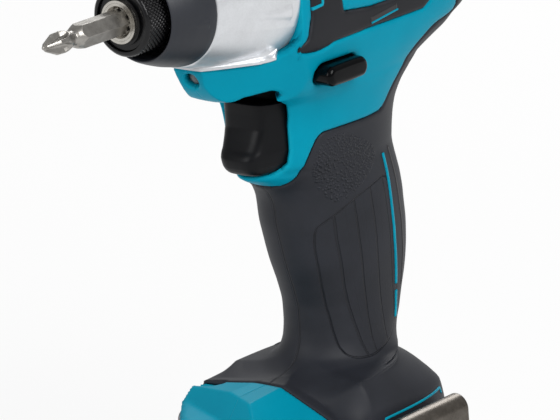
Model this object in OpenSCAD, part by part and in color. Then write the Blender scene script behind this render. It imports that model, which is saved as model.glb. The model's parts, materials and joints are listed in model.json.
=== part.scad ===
// Compact battery impact driver with a quarter-inch hex bit, standing on its battery.
// Millimetres. Origin at the middle of the battery's underside.
// +X runs towards the bit, +Y to the tool's left, +Z up.

/* [Head] */
// Height of the bit axis above the battery's underside
axis_h = 177; // [170:1:186]
// Top of the head above the bit axis
head_rise = 27; // [26:0.5:32]
// Width of the head across the motor
head_w = 50; // [49.5:0.5:56]
// Back of the head behind the origin
head_rear = 73; // [72.5:0.5:80]
// Front of the chin below the hammer case, ahead of the origin
chin_reach = 36.8; // [35:0.1:40]
// Half width of the chin's flat front face
chin_half_w = 4.75; // [4:0.25:6]
// Upper edge of the cradle below the bit axis
cradle_drop = 19.5; // [19:0.5:21]
// Wall of the housing
wall = 3; // [2.6:0.1:3.6]
// Thickness of the soft skins moulded into the housing
skin = 1.2; // [0.8:0.1:1.4]

/* [Grip and foot] */
// Middle of the grip behind the origin
grip_back = 20; // [18:0.5:22]
// Front to back size of the grip at the palm
grip_depth = 49; // [47:0.5:52]
// Width of the grip at the palm
grip_w = 34.6; // [33:0.2:38]
// Height of the lip under the trigger
lip_h = 121.4; // [119:0.2:123]
// Height of the top of the foot
foot_top_h = 61; // [59:0.5:63]
// Front of the foot ahead of the origin
foot_front = 41; // [40:0.5:46]
// Back of the foot behind the origin
foot_rear = 44.5; // [43:0.5:48]
// Width of the foot
foot_w = 54; // [52:0.5:60]
// Place of the edge between the teal toe and the black skin
toe_edge = 10.4; // [8:0.2:13]

/* [Bit and chuck] */
// Front face of the anvil ahead of the origin
nose_reach = 62; // [60:0.5:66]
// Size of the bit's hexagon across its flats
hex_af = 6.35; // [6.35:0.01:6.36]
// Length of the bit
bit_len = 50; // [48:1:54]
// How far the bit stands out of the anvil
bit_out = 29.7; // [28:0.1:32]
// Length of the bit's driving end ahead of the hexagon
bit_tip_len = 12; // [10:0.5:14]
// Radius of the anvil's shank
anvil_r = 6; // [5.9:0.1:6.2]
// Length of the anvil's shank ahead of its arms
anvil_len = 38; // [36:0.5:40]
// Thickness of the anvil's arms
arm_len = 6; // [5:0.5:7]
// Reach of the anvil's arms from the axis
arm_r = 14.5; // [13:0.5:15]
// Width of the anvil's arms
arm_w = 9; // [7:0.5:10]
// Radius of the balls that hold the bit
ball_r = 1.75; // [1.6:0.05:1.8]
// Radius of the sleeve at its knurled band
sleeve_r = 10; // [9.6:0.1:10.6]
// Length of the sleeve
sleeve_len = 15.5; // [15:0.1:16]
// How far the sleeve pulls forward
sleeve_travel = 4; // [3.6:0.1:4.2]
// Radius of the bumper's front opening
bumper_bore_r = 12.2; // [11.8:0.1:12.6]
// Length of the rubber bumper
bumper_len = 14.2; // [13.4:0.1:15]
// Radius of the bumper at its back edge
bumper_r = 17.2; // [17:0.1:18]

/* [Hammer case and hammer] */
// Radius of the hammer case at its back edge
case_r = 24; // [23.5:0.1:25]
// Radius of the hammer case behind the bumper
case_front_r = 17; // [16.6:0.1:17.6]
// Radius of the part of the case that sits in the housing
spigot_r = 22.3; // [22:0.1:22.6]
// Back edge of the hammer case that shows, ahead of the origin
case_edge = 14.5; // [13:0.5:15]
// Length of the anvil's bush
bush_len = 13; // [11:0.5:13.5]
// Outer radius of the anvil's bush
bush_r = 8.5; // [8:0.1:9]
// Radius of the hammer
hammer_r = 17.5; // [16.5:0.1:17.8]
// Length of the hammer behind its dogs
hammer_len = 18; // [17:0.5:19]
// How far the hammer springs back
hammer_travel = 6; // [5:0.5:6.5]
// Wire of the hammer spring
hammer_wire = 1.8; // [1.6:0.1:1.9]
// Radius of the spindle's shaft
spindle_r = 7; // [6.6:0.1:7.2]
// Radius of the balls between the hammer and the spindle
cam_ball_r = 2.2; // [2:0.1:2.3]

/* [Gears] */
// Module of the gear teeth
tooth_module = 0.7; // [0.68:0.01:0.71]
// Teeth of the motor pinion
sun_teeth = 10; // [10]
// Teeth of each planet gear
planet_teeth = 20; // [20]
// Face width of the planet gears
gear_w = 6.7; // [6:0.1:7]
// Radius of the planet pins
pin_r = 2; // [1.8:0.1:2.2]
// Outer radius of the ring gear
ring_r = 20.5; // [20:0.1:20.8]

/* [Motor] */
// Outer radius of the motor can
can_r = 17.8; // [17.2:0.1:18.2]
// Length of the motor can
can_len = 33; // [32.5:0.5:34]
// Wall of the motor can
can_wall = 1.4; // [1.2:0.1:1.6]
// Radius of the motor shaft
shaft_r = 1.6; // [1.5:0.05:1.7]
// Gap between the armature and the magnets
air_gap = 0.5; // [0.4:0.05:0.7]

/* [Trigger and lever] */
// Width of the trigger
trigger_w = 20.4; // [19:0.1:21]
// Height of the trigger
trigger_h = 20.6; // [19.8:0.1:21]
// How far the trigger moves
trigger_travel = 6.5; // [6:0.1:7]
// Length of the reversing lever's face
lever_len = 17; // [15:0.5:18]
// Height of the reversing lever's face
lever_h = 6; // [5:0.1:6.2]
// How far the reversing lever moves through the housing
lever_travel = 8; // [7:0.5:9]

/* [Battery] */
// Height of the battery's top face, where the foot stands
dock_h = 38; // [37.6:0.2:39]
// Wall of the battery's case
battery_wall = 2; // [1.6:0.1:2.2]
// Radius of a battery cell
cell_r = 9.15; // [9:0.05:9.2]
// Length of a battery cell
cell_len = 65; // [64:0.5:66]
// Half width of the battery's rail
rail_half_w = 18; // [17:0.5:19]
// How far the release button moves
latch_travel = 3; // [2.5:0.1:3.2]

/* [Belt clip] */
// Width of the belt clip's steel strip
clip_w = 26; // [22:0.5:28]
// Thickness of the belt clip's steel strip
clip_t = 1.5; // [1.2:0.1:1.8]
// Gap between the belt clip and the battery's side
clip_gap = 5; // [4.6:0.2:6]
// Radius of the threaded hole for the clip's screw
clip_thread_r = 2; // [1.8:0.1:2.2]

/* [Hidden] */

$fn = 64;

// Clearances and the overrun of every cut
overrun = 1;
run_gap = 0.05;
loose_gap = 0.3;
skin_gap = 0.1;

// Colours
teal = "#0a8aa3";
rubber_black = "#303138";
plastic_black = "#1c1d20";
trigger_grey = "#26272b";
case_silver = "#d5d8da";
steel = "#8d8f92";
bright_steel = "#b9bbbd";
bronze = "#a9834f";
copper = "#b8713d";

// Housing sections as rows of shares: height in its zone, front, back, half width, then two roundness powers.
// The foot follows foot_front, foot_rear and foot_w; its heights run from the dock to the top of the foot.
foot_shares = [
  [0, 1, 1, 1, 5, 4],
  [0.5, 1, 0.995, 1, 5, 3.3],
  [0.6, 1, 0.98, 1, 5, 2.8],
  [0.72, 1, 0.952, 0.975, 5, 2.3],
  [0.82, 1, 0.905, 0.94, 4.5, 2.1],
  [0.9, 0.98, 0.85, 0.905, 4, 2],
  [0.955, 0.9, 0.805, 0.865, 3.4, 2],
  [0.98, 0.66, 0.785, 0.835, 2.8, 2],
  [1, 0.28, 0.765, 0.79, 2.4, 2]
];
// The grip follows grip_depth about its middle, and grip_w; its heights run from the foot to the lip.
grip_shares = [
  [0.025, 0.531, 0.345, 0.95, 2, 2.1],
  [0.066, 0.429, 0.345, 0.86, 1.95, 2.2],
  [0.132, 0.386, 0.36, 0.825, 1.95, 2.3],
  [0.2, 0.373, 0.386, 0.827, 1.95, 2.4],
  [0.285, 0.371, 0.416, 0.845, 1.95, 2.4],
  [0.387, 0.396, 0.453, 0.89, 1.95, 2.35],
  [0.521, 0.447, 0.482, 0.96, 1.95, 2.2],
  [0.629, 0.478, 0.492, 0.994, 1.95, 2.1],
  [0.728, 0.506, 0.492, 1, 1.95, 2.05],
  [0.828, 0.518, 0.478, 0.994, 1.95, 2.05],
  [0.894, 0.555, 0.461, 0.988, 1.9, 2.05],
  [0.944, 0.624, 0.451, 0.983, 1.8, 2.05],
  [0.977, 0.706, 0.449, 0.983, 1.65, 2.05],
  [1, 0.739, 0.449, 0.983, 1.65, 2.05]
];
// The head below its axis follows chin_reach, head_rear and head_w; its heights run from the lip to the axis.
head_shares = [
  [0.047, 0.424, 0.575, 0.68, 2.1, 2.1],
  [0.119, 0.397, 0.579, 0.684, 2.4, 2.15],
  [0.209, 0.386, 0.592, 0.704, 2.5, 2.2],
  [0.299, 0.397, 0.625, 0.74, 2.5, 2.3],
  [0.371, 0.435, 0.671, 0.784, 2.5, 2.4],
  [0.405, 0.54, 0.706, 0.808, 2.5, 2.4],
  [0.43, 0.67, 0.735, 0.824, 2.5, 2.4],
  [0.469, 0.808, 0.795, 0.852, 2.6, 2.5],
  [0.505, 0.872, 0.856, 0.876, 2.8, 2.6],
  [0.532, 0.907, 0.897, 0.896, 3, 2.7],
  [0.568, 0.943, 0.932, 0.92, 3, 2.8],
  [0.622, 0.972, 0.963, 0.944, 3, 3.4],
  [0.676, 1, 0.981, 0.964, 3.2, 3.8],
  [0.766, 1, 0.995, 0.984, 4, 4.2],
  [0.874, 1, 1, 0.996, 4, 4.2],
  [1, 1, 1, 1, 4, 4.2]
];
// The head above its axis; its heights run from the axis to the top.
crown_shares = [
  [0.26, 1, 1, 0.996, 4, 4.2],
  [0.48, 1, 0.995, 0.968, 4, 4.2],
  [0.667, 1, 0.981, 0.904, 4, 4.2],
  [0.815, 1, 0.959, 0.784, 4, 4],
  [0.926, 1, 0.926, 0.608, 4, 3.6],
  [1, 1, 0.877, 0.36, 4, 3.4]
];
section_sides = 24;
small_round = 24;
large_round = 48;

dock_gap = 0.4;
foot_base_h = dock_h + dock_gap;
crown_h = axis_h + head_rise;

// A row is [height, front x, back x, half width, front power, back power, how an inner wall shifts in height]
row_shift_share = 0.7;
foot_rows = [for (r = foot_shares)
  [foot_base_h + r[0]*(foot_top_h - foot_base_h), r[1]*foot_front, -r[2]*foot_rear, r[3]*foot_w/2,
   r[4], r[5], -row_shift_share]];
grip_rows = [for (r = grip_shares)
  [foot_top_h + r[0]*(lip_h - foot_top_h), r[1]*grip_depth - grip_back, -r[2]*grip_depth - grip_back,
   r[3]*grip_w/2, r[4], r[5], 0]];
head_rows = [for (r = head_shares)
  [lip_h + r[0]*(axis_h - lip_h), r[1]*chin_reach, -r[2]*head_rear, r[3]*head_w/2,
   r[4], r[5], row_shift_share]];
crown_rows = [for (r = crown_shares)
  [axis_h + r[0]*head_rise, r[1]*chin_reach, -r[2]*head_rear, r[3]*head_w/2, r[4], r[5], -r[0]]];
housing_rows = concat(foot_rows, grip_rows, head_rows, crown_rows);

// Rows of the same body drawn in by an even wall
function drawn_in(rows, w) = [for (r = rows) [r[0] + r[6]*w, r[1] - w, r[2] + w, r[3] - w, r[4], r[5], r[6]]];

// Front, back and half width of the housing at one height
function at_height(h, column) = lookup(h, [for (r = housing_rows) [r[0], r[column]]]);
function grip_mid(h) = (at_height(h, 1) + at_height(h, 2))/2;
function grip_half(h) = (at_height(h, 1) - at_height(h, 2))/2;
function side_at(x, h) = let (u = (x - grip_mid(h))/grip_half(h), e = at_height(h, u > 0 ? 4 : 5))
  at_height(h, 3)*pow(1 - pow(abs(u), e), 1/e);

// Flat facets cut the rounded rows: the chin's two sides, and the toe's slopes, shoulders and corners
chin_side_n = [0.56, 0.76, -0.33];
toe_slope_n = [0.5, 0, 0.866];
toe_shoulder_n = [0, 0.466, 0.885];
toe_corner_n = [0.62, 0.785, 0];
toe_right_n = [0.704, -0.317, 0.635];
toe_right_shoulder_n = [0, 0.148, 0.989];
toe_crest_share = 0.68;
toe_ridge_share = 0.19;
toe_corner_share = 0.37;
toe_crest = [toe_crest_share*foot_front, toe_ridge_share*foot_w/2, foot_top_h];
toe_corner = [foot_front, toe_corner_share*foot_w/2, foot_base_h];
toe_right_share = 0.44;
toe_right_drop_share = 0.058;
toe_right = [toe_crest[0], toe_right_share*foot_w/2, foot_top_h - toe_right_drop_share*(foot_top_h - foot_base_h)];
cradle_h = axis_h - cradle_drop;
chin_corner = [chin_reach, chin_half_w, cradle_h];
facet_fade_share = 0.25;
facet_fade = facet_fade_share*foot_front;
chin_fade_shares = [0.36, 0.43];

function ramp(v, low, high) = max(0, min(1, (v - low)/(high - low)));
function mirrored(n, y) = [n[0], y < 0 ? -n[1] : n[1], n[2]];
function trimmed(p, n, c, w, keep) = let (m = mirrored(n, p[1]))
  p - m*keep*max(0, m*(p - mirrored(c, p[1])) + w);
function pulled_back(p, n, c, w, keep) = p - [keep*max(0, n*(p - c) + w)/n[0], 0, 0];
function faceted(p, w) =
  let (toe = ramp(p[0], toe_edge - facet_fade, toe_edge)*ramp(p[2], foot_top_h + facet_fade, foot_top_h),
       chin = ramp(p[2], cradle_h + facet_fade, cradle_h)
         *ramp((p[2] - lip_h)/(axis_h - lip_h), chin_fade_shares[0], chin_fade_shares[1]),
       a = p[1] > 0 ? trimmed(p, toe_shoulder_n, toe_crest, w, toe)
         : trimmed(p, toe_right_shoulder_n, toe_right, w, toe),
       b = trimmed(a, toe_slope_n, toe_crest, w, toe),
       c = pulled_back(b, toe_right_n, toe_crest, w, toe*ramp(p[2], nose_wall_h, nose_wall_h + wall/2)),
       d = trimmed(c, toe_corner_n, toe_corner, w, toe))
  trimmed(d, chin_side_n, chin_corner, w, chin);

function signed_power(v, e) = sign(v)*pow(abs(v), e);
function section_point(r, a) =
  let (mid = (r[1] + r[2])/2, half = (r[1] - r[2])/2, e = 2/(cos(a) > 0 ? r[4] : r[5]))
  [mid + half*signed_power(cos(a), e), r[3]*signed_power(sin(a), e), r[0]];
function section(r, w) = [for (i = [0 : section_sides - 1])
  faceted(section_point(r, 360*i/section_sides), w)];

// Faces of a stack of rings with equal counts, closed by flat ends
function stack_faces(rings, sides) = concat(
  [[for (i = [sides - 1 : -1 : 0]) sides - 1 - i]],
  [for (k = [0 : rings - 2], i = [0 : sides - 1], half = [0, 1])
    let (a = k*sides + i, b = k*sides + (i + 1) % sides)
    half == 0 ? [a, a + sides, b] : [b, a + sides, b + sides]],
  [[for (i = [0 : sides - 1]) rings*sides - 1 - i]]);

module loft(rows, w) {
  polyhedron([for (r = rows) each section(r, w)], stack_faces(len(rows), section_sides), convexity = 6);
}
module body_outside() { loft(housing_rows, 0); }
module body_drawn_in(w) { loft(drawn_in(housing_rows, w), w); }
module one_mesh() { resize([0, 0, 0]) children(); }

// A tube along a path of points, and a coil about the local Z axis
tube_sides = 6;
function unit(v) = v/norm(v);
function path_way(p, i) = unit(p[min(i + 1, len(p) - 1)] - p[max(i - 1, 0)]);
function path_ring(p, i, r, ref) =
  let (t = path_way(p, i), n = unit(cross(t, ref)), b = cross(t, n))
  [for (k = [0 : tube_sides - 1]) p[i] + r*(n*cos(360*k/tube_sides) + b*sin(360*k/tube_sides))];
module tube(path, r, ref) {
  polyhedron([for (i = [0 : len(path) - 1]) each path_ring(path, i, r, ref)],
             stack_faces(len(path), tube_sides), convexity = 10);
}
coil_steps = 8;
function coil_path(r, wire, length, turns) = [for (i = [0 : turns*coil_steps])
  let (a = 360*i/coil_steps)
  [r*cos(a), r*sin(a), wire/2 + (length - wire)*i/(turns*coil_steps)]];
module coil(r, wire, length, turns) { tube(coil_path(r, wire, length, turns), wire/2, [0, 0, 1]); }

// Shapes along the bit axis: local Z runs along +X
module on_axis(x) { translate([x, 0, axis_h]) rotate([0, 90, 0]) children(); }
module rod(x, length, r) { on_axis(x) cylinder(h = length, r = r); }
module ring(x, length, r, bore) {
  on_axis(x) difference() {
    cylinder(h = length, r = r);
    translate([0, 0, -overrun]) cylinder(h = length + 2*overrun, r = bore);
  }
}
module box(low, high) { translate(low) cube(high - low); }
module across(x, z, low, high, r) {
  translate([x, low, z]) rotate([-90, 0, 0]) cylinder(h = high - low, r = r);
}

// Bit and chuck places
bit_rear = nose_reach + bit_out - bit_len;
hex_len = bit_len - bit_tip_len;
hex_corner_r = hex_af/2/cos(30);
socket_gap = 0.1;
bit_shares = [0.72, 0.6, 0.95, 0.34, 0.89];
shoulder_len = 3;
flute_t = 1.5;
arm_front = nose_reach - anvil_len;
anvil_rear = arm_front - arm_len;
pilot_r = 3;
pilot_len = 4.5;
sleeve_back_set = 1;
sleeve_front = nose_reach - sleeve_back_set;
sleeve_rear = sleeve_front - sleeve_len;
ball_back = 3.5;
ball_x = sleeve_rear + ball_back;
ball_mid_r = 4.6;
ball_lift = 1;
ramp_slope = ball_lift/sleeve_travel;
ramp_r = ball_mid_r + ball_r*sqrt(1 + ramp_slope*ramp_slope) + run_gap;
land_r = anvil_r + run_gap;
land_x = ball_x + (ramp_r - land_r)/ramp_slope;
land_len = 1.6;
spring_bore_r = 8.4;
ring_t = 0.8;
washer_x = sleeve_front - 2*ring_t;
sleeve_lip_r = 9;
knurl_shares = [0.1, 0.72, 0.8];
ring_groove = 0.5;
socket_mouth_r = 4.5;

module bit() color(steel) difference() {
  union() {
    on_axis(bit_rear) intersection() {
      cylinder(h = hex_len, r = hex_corner_r, $fn = 6);
      rotate_extrude() polygon([
        [0, 0],
        [bit_shares[4]*hex_corner_r, 0],
        [hex_corner_r + overrun, shoulder_len],
        [hex_corner_r + overrun, hex_len - shoulder_len],
        [bit_shares[0]*hex_corner_r, hex_len],
        [0, hex_len]
      ]);
    }
    on_axis(bit_rear + hex_len) {
      rotate_extrude() polygon([
        [0, 0],
        [bit_shares[0]*hex_corner_r, 0],
        [bit_shares[1]*hex_corner_r, shoulder_len],
        [bit_shares[1]*hex_corner_r, bit_tip_len/2],
        [flute_t/2, bit_tip_len],
        [0, bit_tip_len]
      ]);
      intersection() {
        union() for (a = [0, 90]) rotate([0, 0, a])
          translate([-hex_af, -flute_t/2, 0]) cube([2*hex_af, flute_t, bit_tip_len]);
        rotate_extrude() polygon([
          [0, 0],
          [bit_shares[0]*hex_corner_r, 0],
          [bit_shares[1]*hex_corner_r, shoulder_len],
          [bit_shares[2]*hex_af/2, bit_tip_len/2],
          [bit_shares[2]*hex_af/2, bit_tip_len - shoulder_len],
          [bit_shares[3]*hex_af/2, bit_tip_len],
          [0, bit_tip_len]
        ]);
      }
    }
  }
  on_axis(ball_x) rotate_extrude() translate([ball_mid_r, 0]) circle(r = ball_r + run_gap);
}

module anvil() color(bright_steel) difference() {
  union() {
    rod(anvil_rear, arm_front - anvil_rear + anvil_len, anvil_r);
    on_axis(anvil_rear) intersection() {
      cylinder(h = arm_len, r = arm_r);
      translate([-arm_w/2, -arm_r, 0]) cube([arm_w, 2*arm_r, arm_len]);
    }
  }
  on_axis(bit_rear) cylinder(h = bit_len, r = hex_corner_r + socket_gap, $fn = 6);
  on_axis(nose_reach - socket_mouth_r + hex_corner_r)
    cylinder(h = socket_mouth_r - hex_corner_r + overrun, r1 = hex_corner_r, r2 = socket_mouth_r + overrun);
  rod(anvil_rear - overrun, overrun + pilot_len + 2*loose_gap, pilot_r + run_gap);
  translate([ball_x, 0, axis_h - anvil_r - overrun])
    cylinder(h = 2*(anvil_r + overrun), r = ball_r + run_gap);
  ring(washer_x + ring_t - run_gap, ring_t + 2*run_gap, anvil_r + overrun, anvil_r - ring_groove - run_gap);
}

module sleeve() color(plastic_black) on_axis(sleeve_rear) rotate_extrude() polygon([
  [ramp_r + ramp_slope*ball_back, 0],
  [sleeve_r - ring_t, 0],
  [sleeve_r, knurl_shares[0]*sleeve_len],
  [sleeve_r, knurl_shares[1]*sleeve_len],
  [sleeve_lip_r, knurl_shares[2]*sleeve_len],
  [sleeve_lip_r + ring_t/2, sleeve_len - ring_t],
  [sleeve_lip_r, sleeve_len],
  [spring_bore_r, sleeve_len],
  [spring_bore_r, land_x + land_len - sleeve_rear],
  [land_r, land_x + land_len - sleeve_rear],
  [land_r, land_x - sleeve_rear]
]);

sleeve_wire = 0.9;
module sleeve_spring() color(steel) on_axis(land_x + land_len)
  coil((anvil_r + spring_bore_r)/2, sleeve_wire, washer_x - land_x - land_len, 3);

module spring_washer() color(steel) ring(washer_x, ring_t, spring_bore_r - loose_gap, anvil_r + run_gap);

module retaining_ring() color(bright_steel)
  ring(washer_x + ring_t, ring_t, anvil_r + ring_t, anvil_r - ring_groove);

module detent_ball_upper() color(bright_steel) translate([ball_x, 0, axis_h + ball_mid_r]) sphere(r = ball_r);

module detent_ball_lower() color(bright_steel) translate([ball_x, 0, axis_h - ball_mid_r]) sphere(r = ball_r);

// Hammer case places, front to back along the axis
bumper_back_set = 7;
bumper_front = nose_reach - bumper_back_set;
bumper_rear = bumper_front - bumper_len;
bumper_seat = 3.4;
case_nose = bumper_rear + bumper_seat;
nose_r = 14;
bush_front = case_nose - ring_t;
lug_gap = 0.6;
chamber_front = arm_front + lug_gap;
hammer_gap = 2;
hammer_front = anvil_rear - hammer_gap;
hammer_rear = hammer_front - hammer_len;
dog_len = 6;
dog_inner_r = 8.5;
dog_w = 10;
chamber_gap = 1;
case_bore_r = hammer_r + chamber_gap;
case_tail = 7;
case_back = hammer_rear - case_tail;
bumper_shares = [[0.27, 0.27], [0.43, 0.54], [0.73, 0.82]];

module nose_bumper() color(rubber_black) on_axis(bumper_rear) rotate_extrude() polygon([
  [nose_r + run_gap, 0],
  [bumper_r, 0],
  for (p = bumper_shares) [bumper_r - p[0]*(bumper_r - bumper_bore_r), p[1]*bumper_len],
  [bumper_bore_r + ring_t/2, bumper_len],
  [bumper_bore_r, bumper_len - ring_t/2],
  [bumper_bore_r, bumper_seat],
  [nose_r + run_gap, bumper_seat]
]);

// A rim round the foot of the case closes the cradle's upper edge
rim_t = 1.3;
cradle_row = [cradle_h, for (c = [1 : 5]) at_height(cradle_h, c)];
module case_rim() {
  intersection() {
    translate([0, 0, cradle_h + skin_gap]) linear_extrude(rim_t)
      polygon([for (p = section(cradle_row, 0)) [p[0], p[1]]]);
    box([case_edge, -head_w, cradle_h], [chin_reach, head_w, axis_h]);
  }
}
module hammer_case() color(case_silver) {
  case_barrel();
  difference() {
    case_rim();
    rod(case_back, case_edge - case_back + overrun, case_r - overrun, $fn = large_round);
    on_axis(case_edge)
      cylinder(h = bumper_rear - case_edge, r1 = case_r - overrun, r2 = case_front_r - overrun);
  }
}
module case_barrel() on_axis(case_back) rotate_extrude() polygon([
  [case_bore_r, 0],
  [spigot_r, 0],
  [spigot_r, case_edge - case_back],
  [case_r, case_edge - case_back],
  [case_front_r, bumper_rear - case_back],
  [nose_r, bumper_rear - case_back],
  [nose_r, case_nose - case_back],
  [bush_r, case_nose - case_back],
  [bush_r, bush_front - bush_len - case_back],
  [anvil_r + lug_gap, bush_front - bush_len - case_back],
  [anvil_r + lug_gap, chamber_front - case_back],
  [arm_r + lug_gap, chamber_front - case_back],
  [case_bore_r, hammer_front - case_back + lug_gap]
]);

module front_bush() color(bronze) ring(bush_front - bush_len, bush_len, bush_r, anvil_r + run_gap);

// Hammer and spindle
spring_pocket_len = 6;
spring_mid_r = 10.6;
cam_ball_set = 3;
cam_ball_x = hammer_rear + spring_pocket_len + cam_ball_set;
washer_t = 1;
spring_room = 10;
carrier_front = hammer_rear - spring_room;
disc_len = 3;
gear_gap = 0.5;
gear_front = carrier_front - disc_len - gear_gap;
carrier_rear = gear_front - gear_w - gear_gap - disc_len;
carrier_r = 15;
hub_r = 8;
hub_len = 3.8;
sun_r = sun_teeth*tooth_module/2;
planet_r = planet_teeth*tooth_module/2;
ring_teeth = sun_teeth + 2*planet_teeth;
ring_pitch_r = ring_teeth*tooth_module/2;
orbit_r = sun_r + planet_r;
sun_tip_share = 1;
planet_tip_share = 0.64;
root_share = 1.25;
backlash = 0.1;
bore_gap = 0.6;

module hammer() color(steel) difference() {
  union() {
    ring(hammer_rear, hammer_len, hammer_r, spindle_r + run_gap);
    on_axis(hammer_front) intersection() {
      difference() {
        cylinder(h = dog_len, r = arm_r);
        translate([0, 0, -overrun]) cylinder(h = dog_len + 2*overrun, r = dog_inner_r);
      }
      translate([-arm_r, -dog_w/2, 0]) cube([2*arm_r, dog_w, dog_len]);
    }
  }
  ring(hammer_rear - overrun, spring_pocket_len + overrun, spring_mid_r + hammer_wire,
       spring_mid_r - hammer_wire);
  for (s = [-1, 1]) translate([0, s*spindle_r, 0]) {
    rod(cam_ball_x, hammer_travel, cam_ball_r + run_gap);
    for (x = [0, hammer_travel]) translate([cam_ball_x + x, 0, axis_h]) sphere(r = cam_ball_r + run_gap);
  }
}

module cam_balls() color(bright_steel)
  for (s = [-1, 1]) translate([cam_ball_x, s*spindle_r, axis_h]) sphere(r = cam_ball_r);

module hammer_spring() color(steel) on_axis(carrier_front + washer_t)
  coil(spring_mid_r, hammer_wire, hammer_rear + spring_pocket_len - carrier_front - washer_t, 4);

module thrust_washer() color(bright_steel)
  ring(carrier_front, washer_t, spring_mid_r + hammer_wire, spindle_r + run_gap);

bridge_w = 7;
bridge_low_share = 0.62;
spindle_nose = 1.4;
module spindle() color(steel) difference() {
  union() {
    rod(carrier_front, hammer_front + spindle_nose - carrier_front, spindle_r);
    rod(carrier_front, anvil_rear + pilot_len - carrier_front, pilot_r);
    rod(carrier_front - disc_len, disc_len, carrier_r);
    rod(carrier_rear, disc_len, carrier_r);
    rod(carrier_rear - hub_len, hub_len, hub_r);
    for (a = [0, 180]) on_axis(carrier_rear) rotate([0, 0, a]) intersection() {
      cylinder(h = carrier_front - carrier_rear, r = carrier_r);
      translate([bridge_low_share*carrier_r, -bridge_w/2, 0])
        cube([carrier_r, bridge_w, carrier_front - carrier_rear]);
    }
  }
  rod(carrier_rear - hub_len - overrun, carrier_front - disc_len/2 - carrier_rear + hub_len + overrun,
      sun_r + tooth_module + bore_gap);
  for (s = [-1, 1]) translate([0, s*orbit_r, 0])
    rod(carrier_rear - overrun, carrier_front - carrier_rear + 2*overrun, pin_r);
  for (s = [-1, 1]) translate([cam_ball_x, s*spindle_r, axis_h]) sphere(r = cam_ball_r + run_gap);
}

module planet_pins() color(bright_steel) for (s = [-1, 1]) translate([0, s*orbit_r, 0])
  rod(carrier_rear, carrier_front - carrier_rear, pin_r);

// Involute gear outline: half the tooth's angle at a radius, and its points from root to tip
pressure = 20;
function involute(r, base) = r <= base ? 0 : tan(acos(base/r))*180/PI - acos(base/r);
function tooth_half(r, pitch, teeth, slack) =
  90/teeth - slack/pitch*45/PI*2 + involute(pitch, pitch*cos(pressure)) - involute(r, pitch*cos(pressure));
function gear_outline(teeth, tip, root, slack) = let (pitch = teeth*tooth_module/2, mid = (pitch + tip)/2)
  [for (k = [0 : teeth - 1],
        q = [[root, -1], [pitch, -1], [mid, -1], [tip, -1], [tip, 1], [mid, 1], [pitch, 1], [root, 1]])
    let (a = 360*k/teeth + q[1]*tooth_half(q[0], pitch, teeth, slack)) q[0]*[cos(a), sin(a)]];

module toothed(teeth, tip_share, length, bore) {
  linear_extrude(length) difference() {
    polygon(gear_outline(teeth, teeth*tooth_module/2 + tip_share*tooth_module,
                         teeth*tooth_module/2 - root_share*tooth_module, backlash/2));
    circle(r = bore);
  }
}
module planet_gear(s) {
  translate([0, s*orbit_r, 0]) on_axis(gear_front - gear_w)
    toothed(planet_teeth, planet_tip_share, gear_w, pin_r + run_gap);
}
module planet_gear_a() color(steel) planet_gear(1);
module planet_gear_b() color(steel) planet_gear(-1);

ring_back = gear_front - gear_w - gear_gap;
ring_len = gear_w + 3*gear_gap;
module ring_gear() color(steel) on_axis(ring_back) linear_extrude(ring_len) difference() {
  circle(r = ring_r);
  rotate(180/ring_teeth) polygon(gear_outline(ring_teeth, ring_pitch_r + root_share*tooth_module,
                       ring_pitch_r - planet_tip_share*tooth_module, -backlash/2));
}

bearing_r = 11;
bearing_len = hub_len - gear_gap;
box_back = carrier_rear - hub_len - gear_gap;
cavity_back = carrier_rear - gear_gap;
module bearing_box() color(plastic_black) on_axis(box_back) rotate_extrude() polygon([
  [hub_r, 0],
  [spigot_r, 0],
  [spigot_r, case_back - box_back],
  [ring_r, case_back - box_back],
  [ring_r, ring_back - box_back],
  [carrier_r + lug_gap, ring_back - box_back],
  [carrier_r + lug_gap, cavity_back - box_back],
  [bearing_r, cavity_back - box_back],
  [bearing_r, cavity_back - bearing_len - box_back],
  [hub_r, cavity_back - bearing_len - box_back]
]);

module spindle_bearing() color(bright_steel) on_axis(cavity_back - bearing_len) difference() {
  rotate_extrude() translate([hub_r + run_gap, 0]) square([bearing_r - hub_r - run_gap, bearing_len]);
  for (z = [0, bearing_len]) translate([0, 0, z]) rotate_extrude() translate([(hub_r + bearing_r)/2, 0])
    circle(r = bearing_len/6);
}

// Motor
can_front = box_back;
can_back = can_front - can_len;
front_wall = 2;
magnet_len_share = 0.7;
magnet_len = magnet_len_share*can_len;
magnet_set = 6;
magnet_front = can_front - magnet_set;
magnet_t = 2.7;
magnet_arc = 130;
armature_r = can_r - can_wall - magnet_t - air_gap;
armature_set = 2;
armature_front = magnet_front - armature_set;
armature_len_share = 0.515;
armature_len = armature_len_share*can_len;
slot_count = 9;
slot_w = 2;
commutator_r = 5;
commutator_len = 6;
commutator_set = 1;
commutator_back = can_back + commutator_set;
fan_r = 13;
fan_front = can_front - front_wall - gear_gap;
fan_len = 3.2;
plate_t = 2.4;
motor_bush_r = 5;
shaft_back = can_back - plate_t;

module motor_can() color("#6f7377") difference() {
  rod(can_back, can_len, can_r);
  rod(can_back - overrun, can_len - front_wall + overrun, can_r - can_wall);
  rod(can_front - front_wall - overrun, front_wall + 2*overrun, motor_bush_r);
  for (a = [0 : 60 : 300]) on_axis(can_front - front_wall - overrun) rotate([0, 0, a])
    translate([(can_r + motor_bush_r)/2, 0, 0]) cylinder(h = front_wall + 2*overrun, r = front_wall);
}

module motor_magnets() color("#3a3b3d") for (s = [0, 180])
  on_axis(magnet_front - magnet_len) rotate([0, 0, s - magnet_arc/2]) rotate_extrude(angle = magnet_arc)
    translate([can_r - can_wall - magnet_t, 0]) square([magnet_t, magnet_len]);

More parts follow.
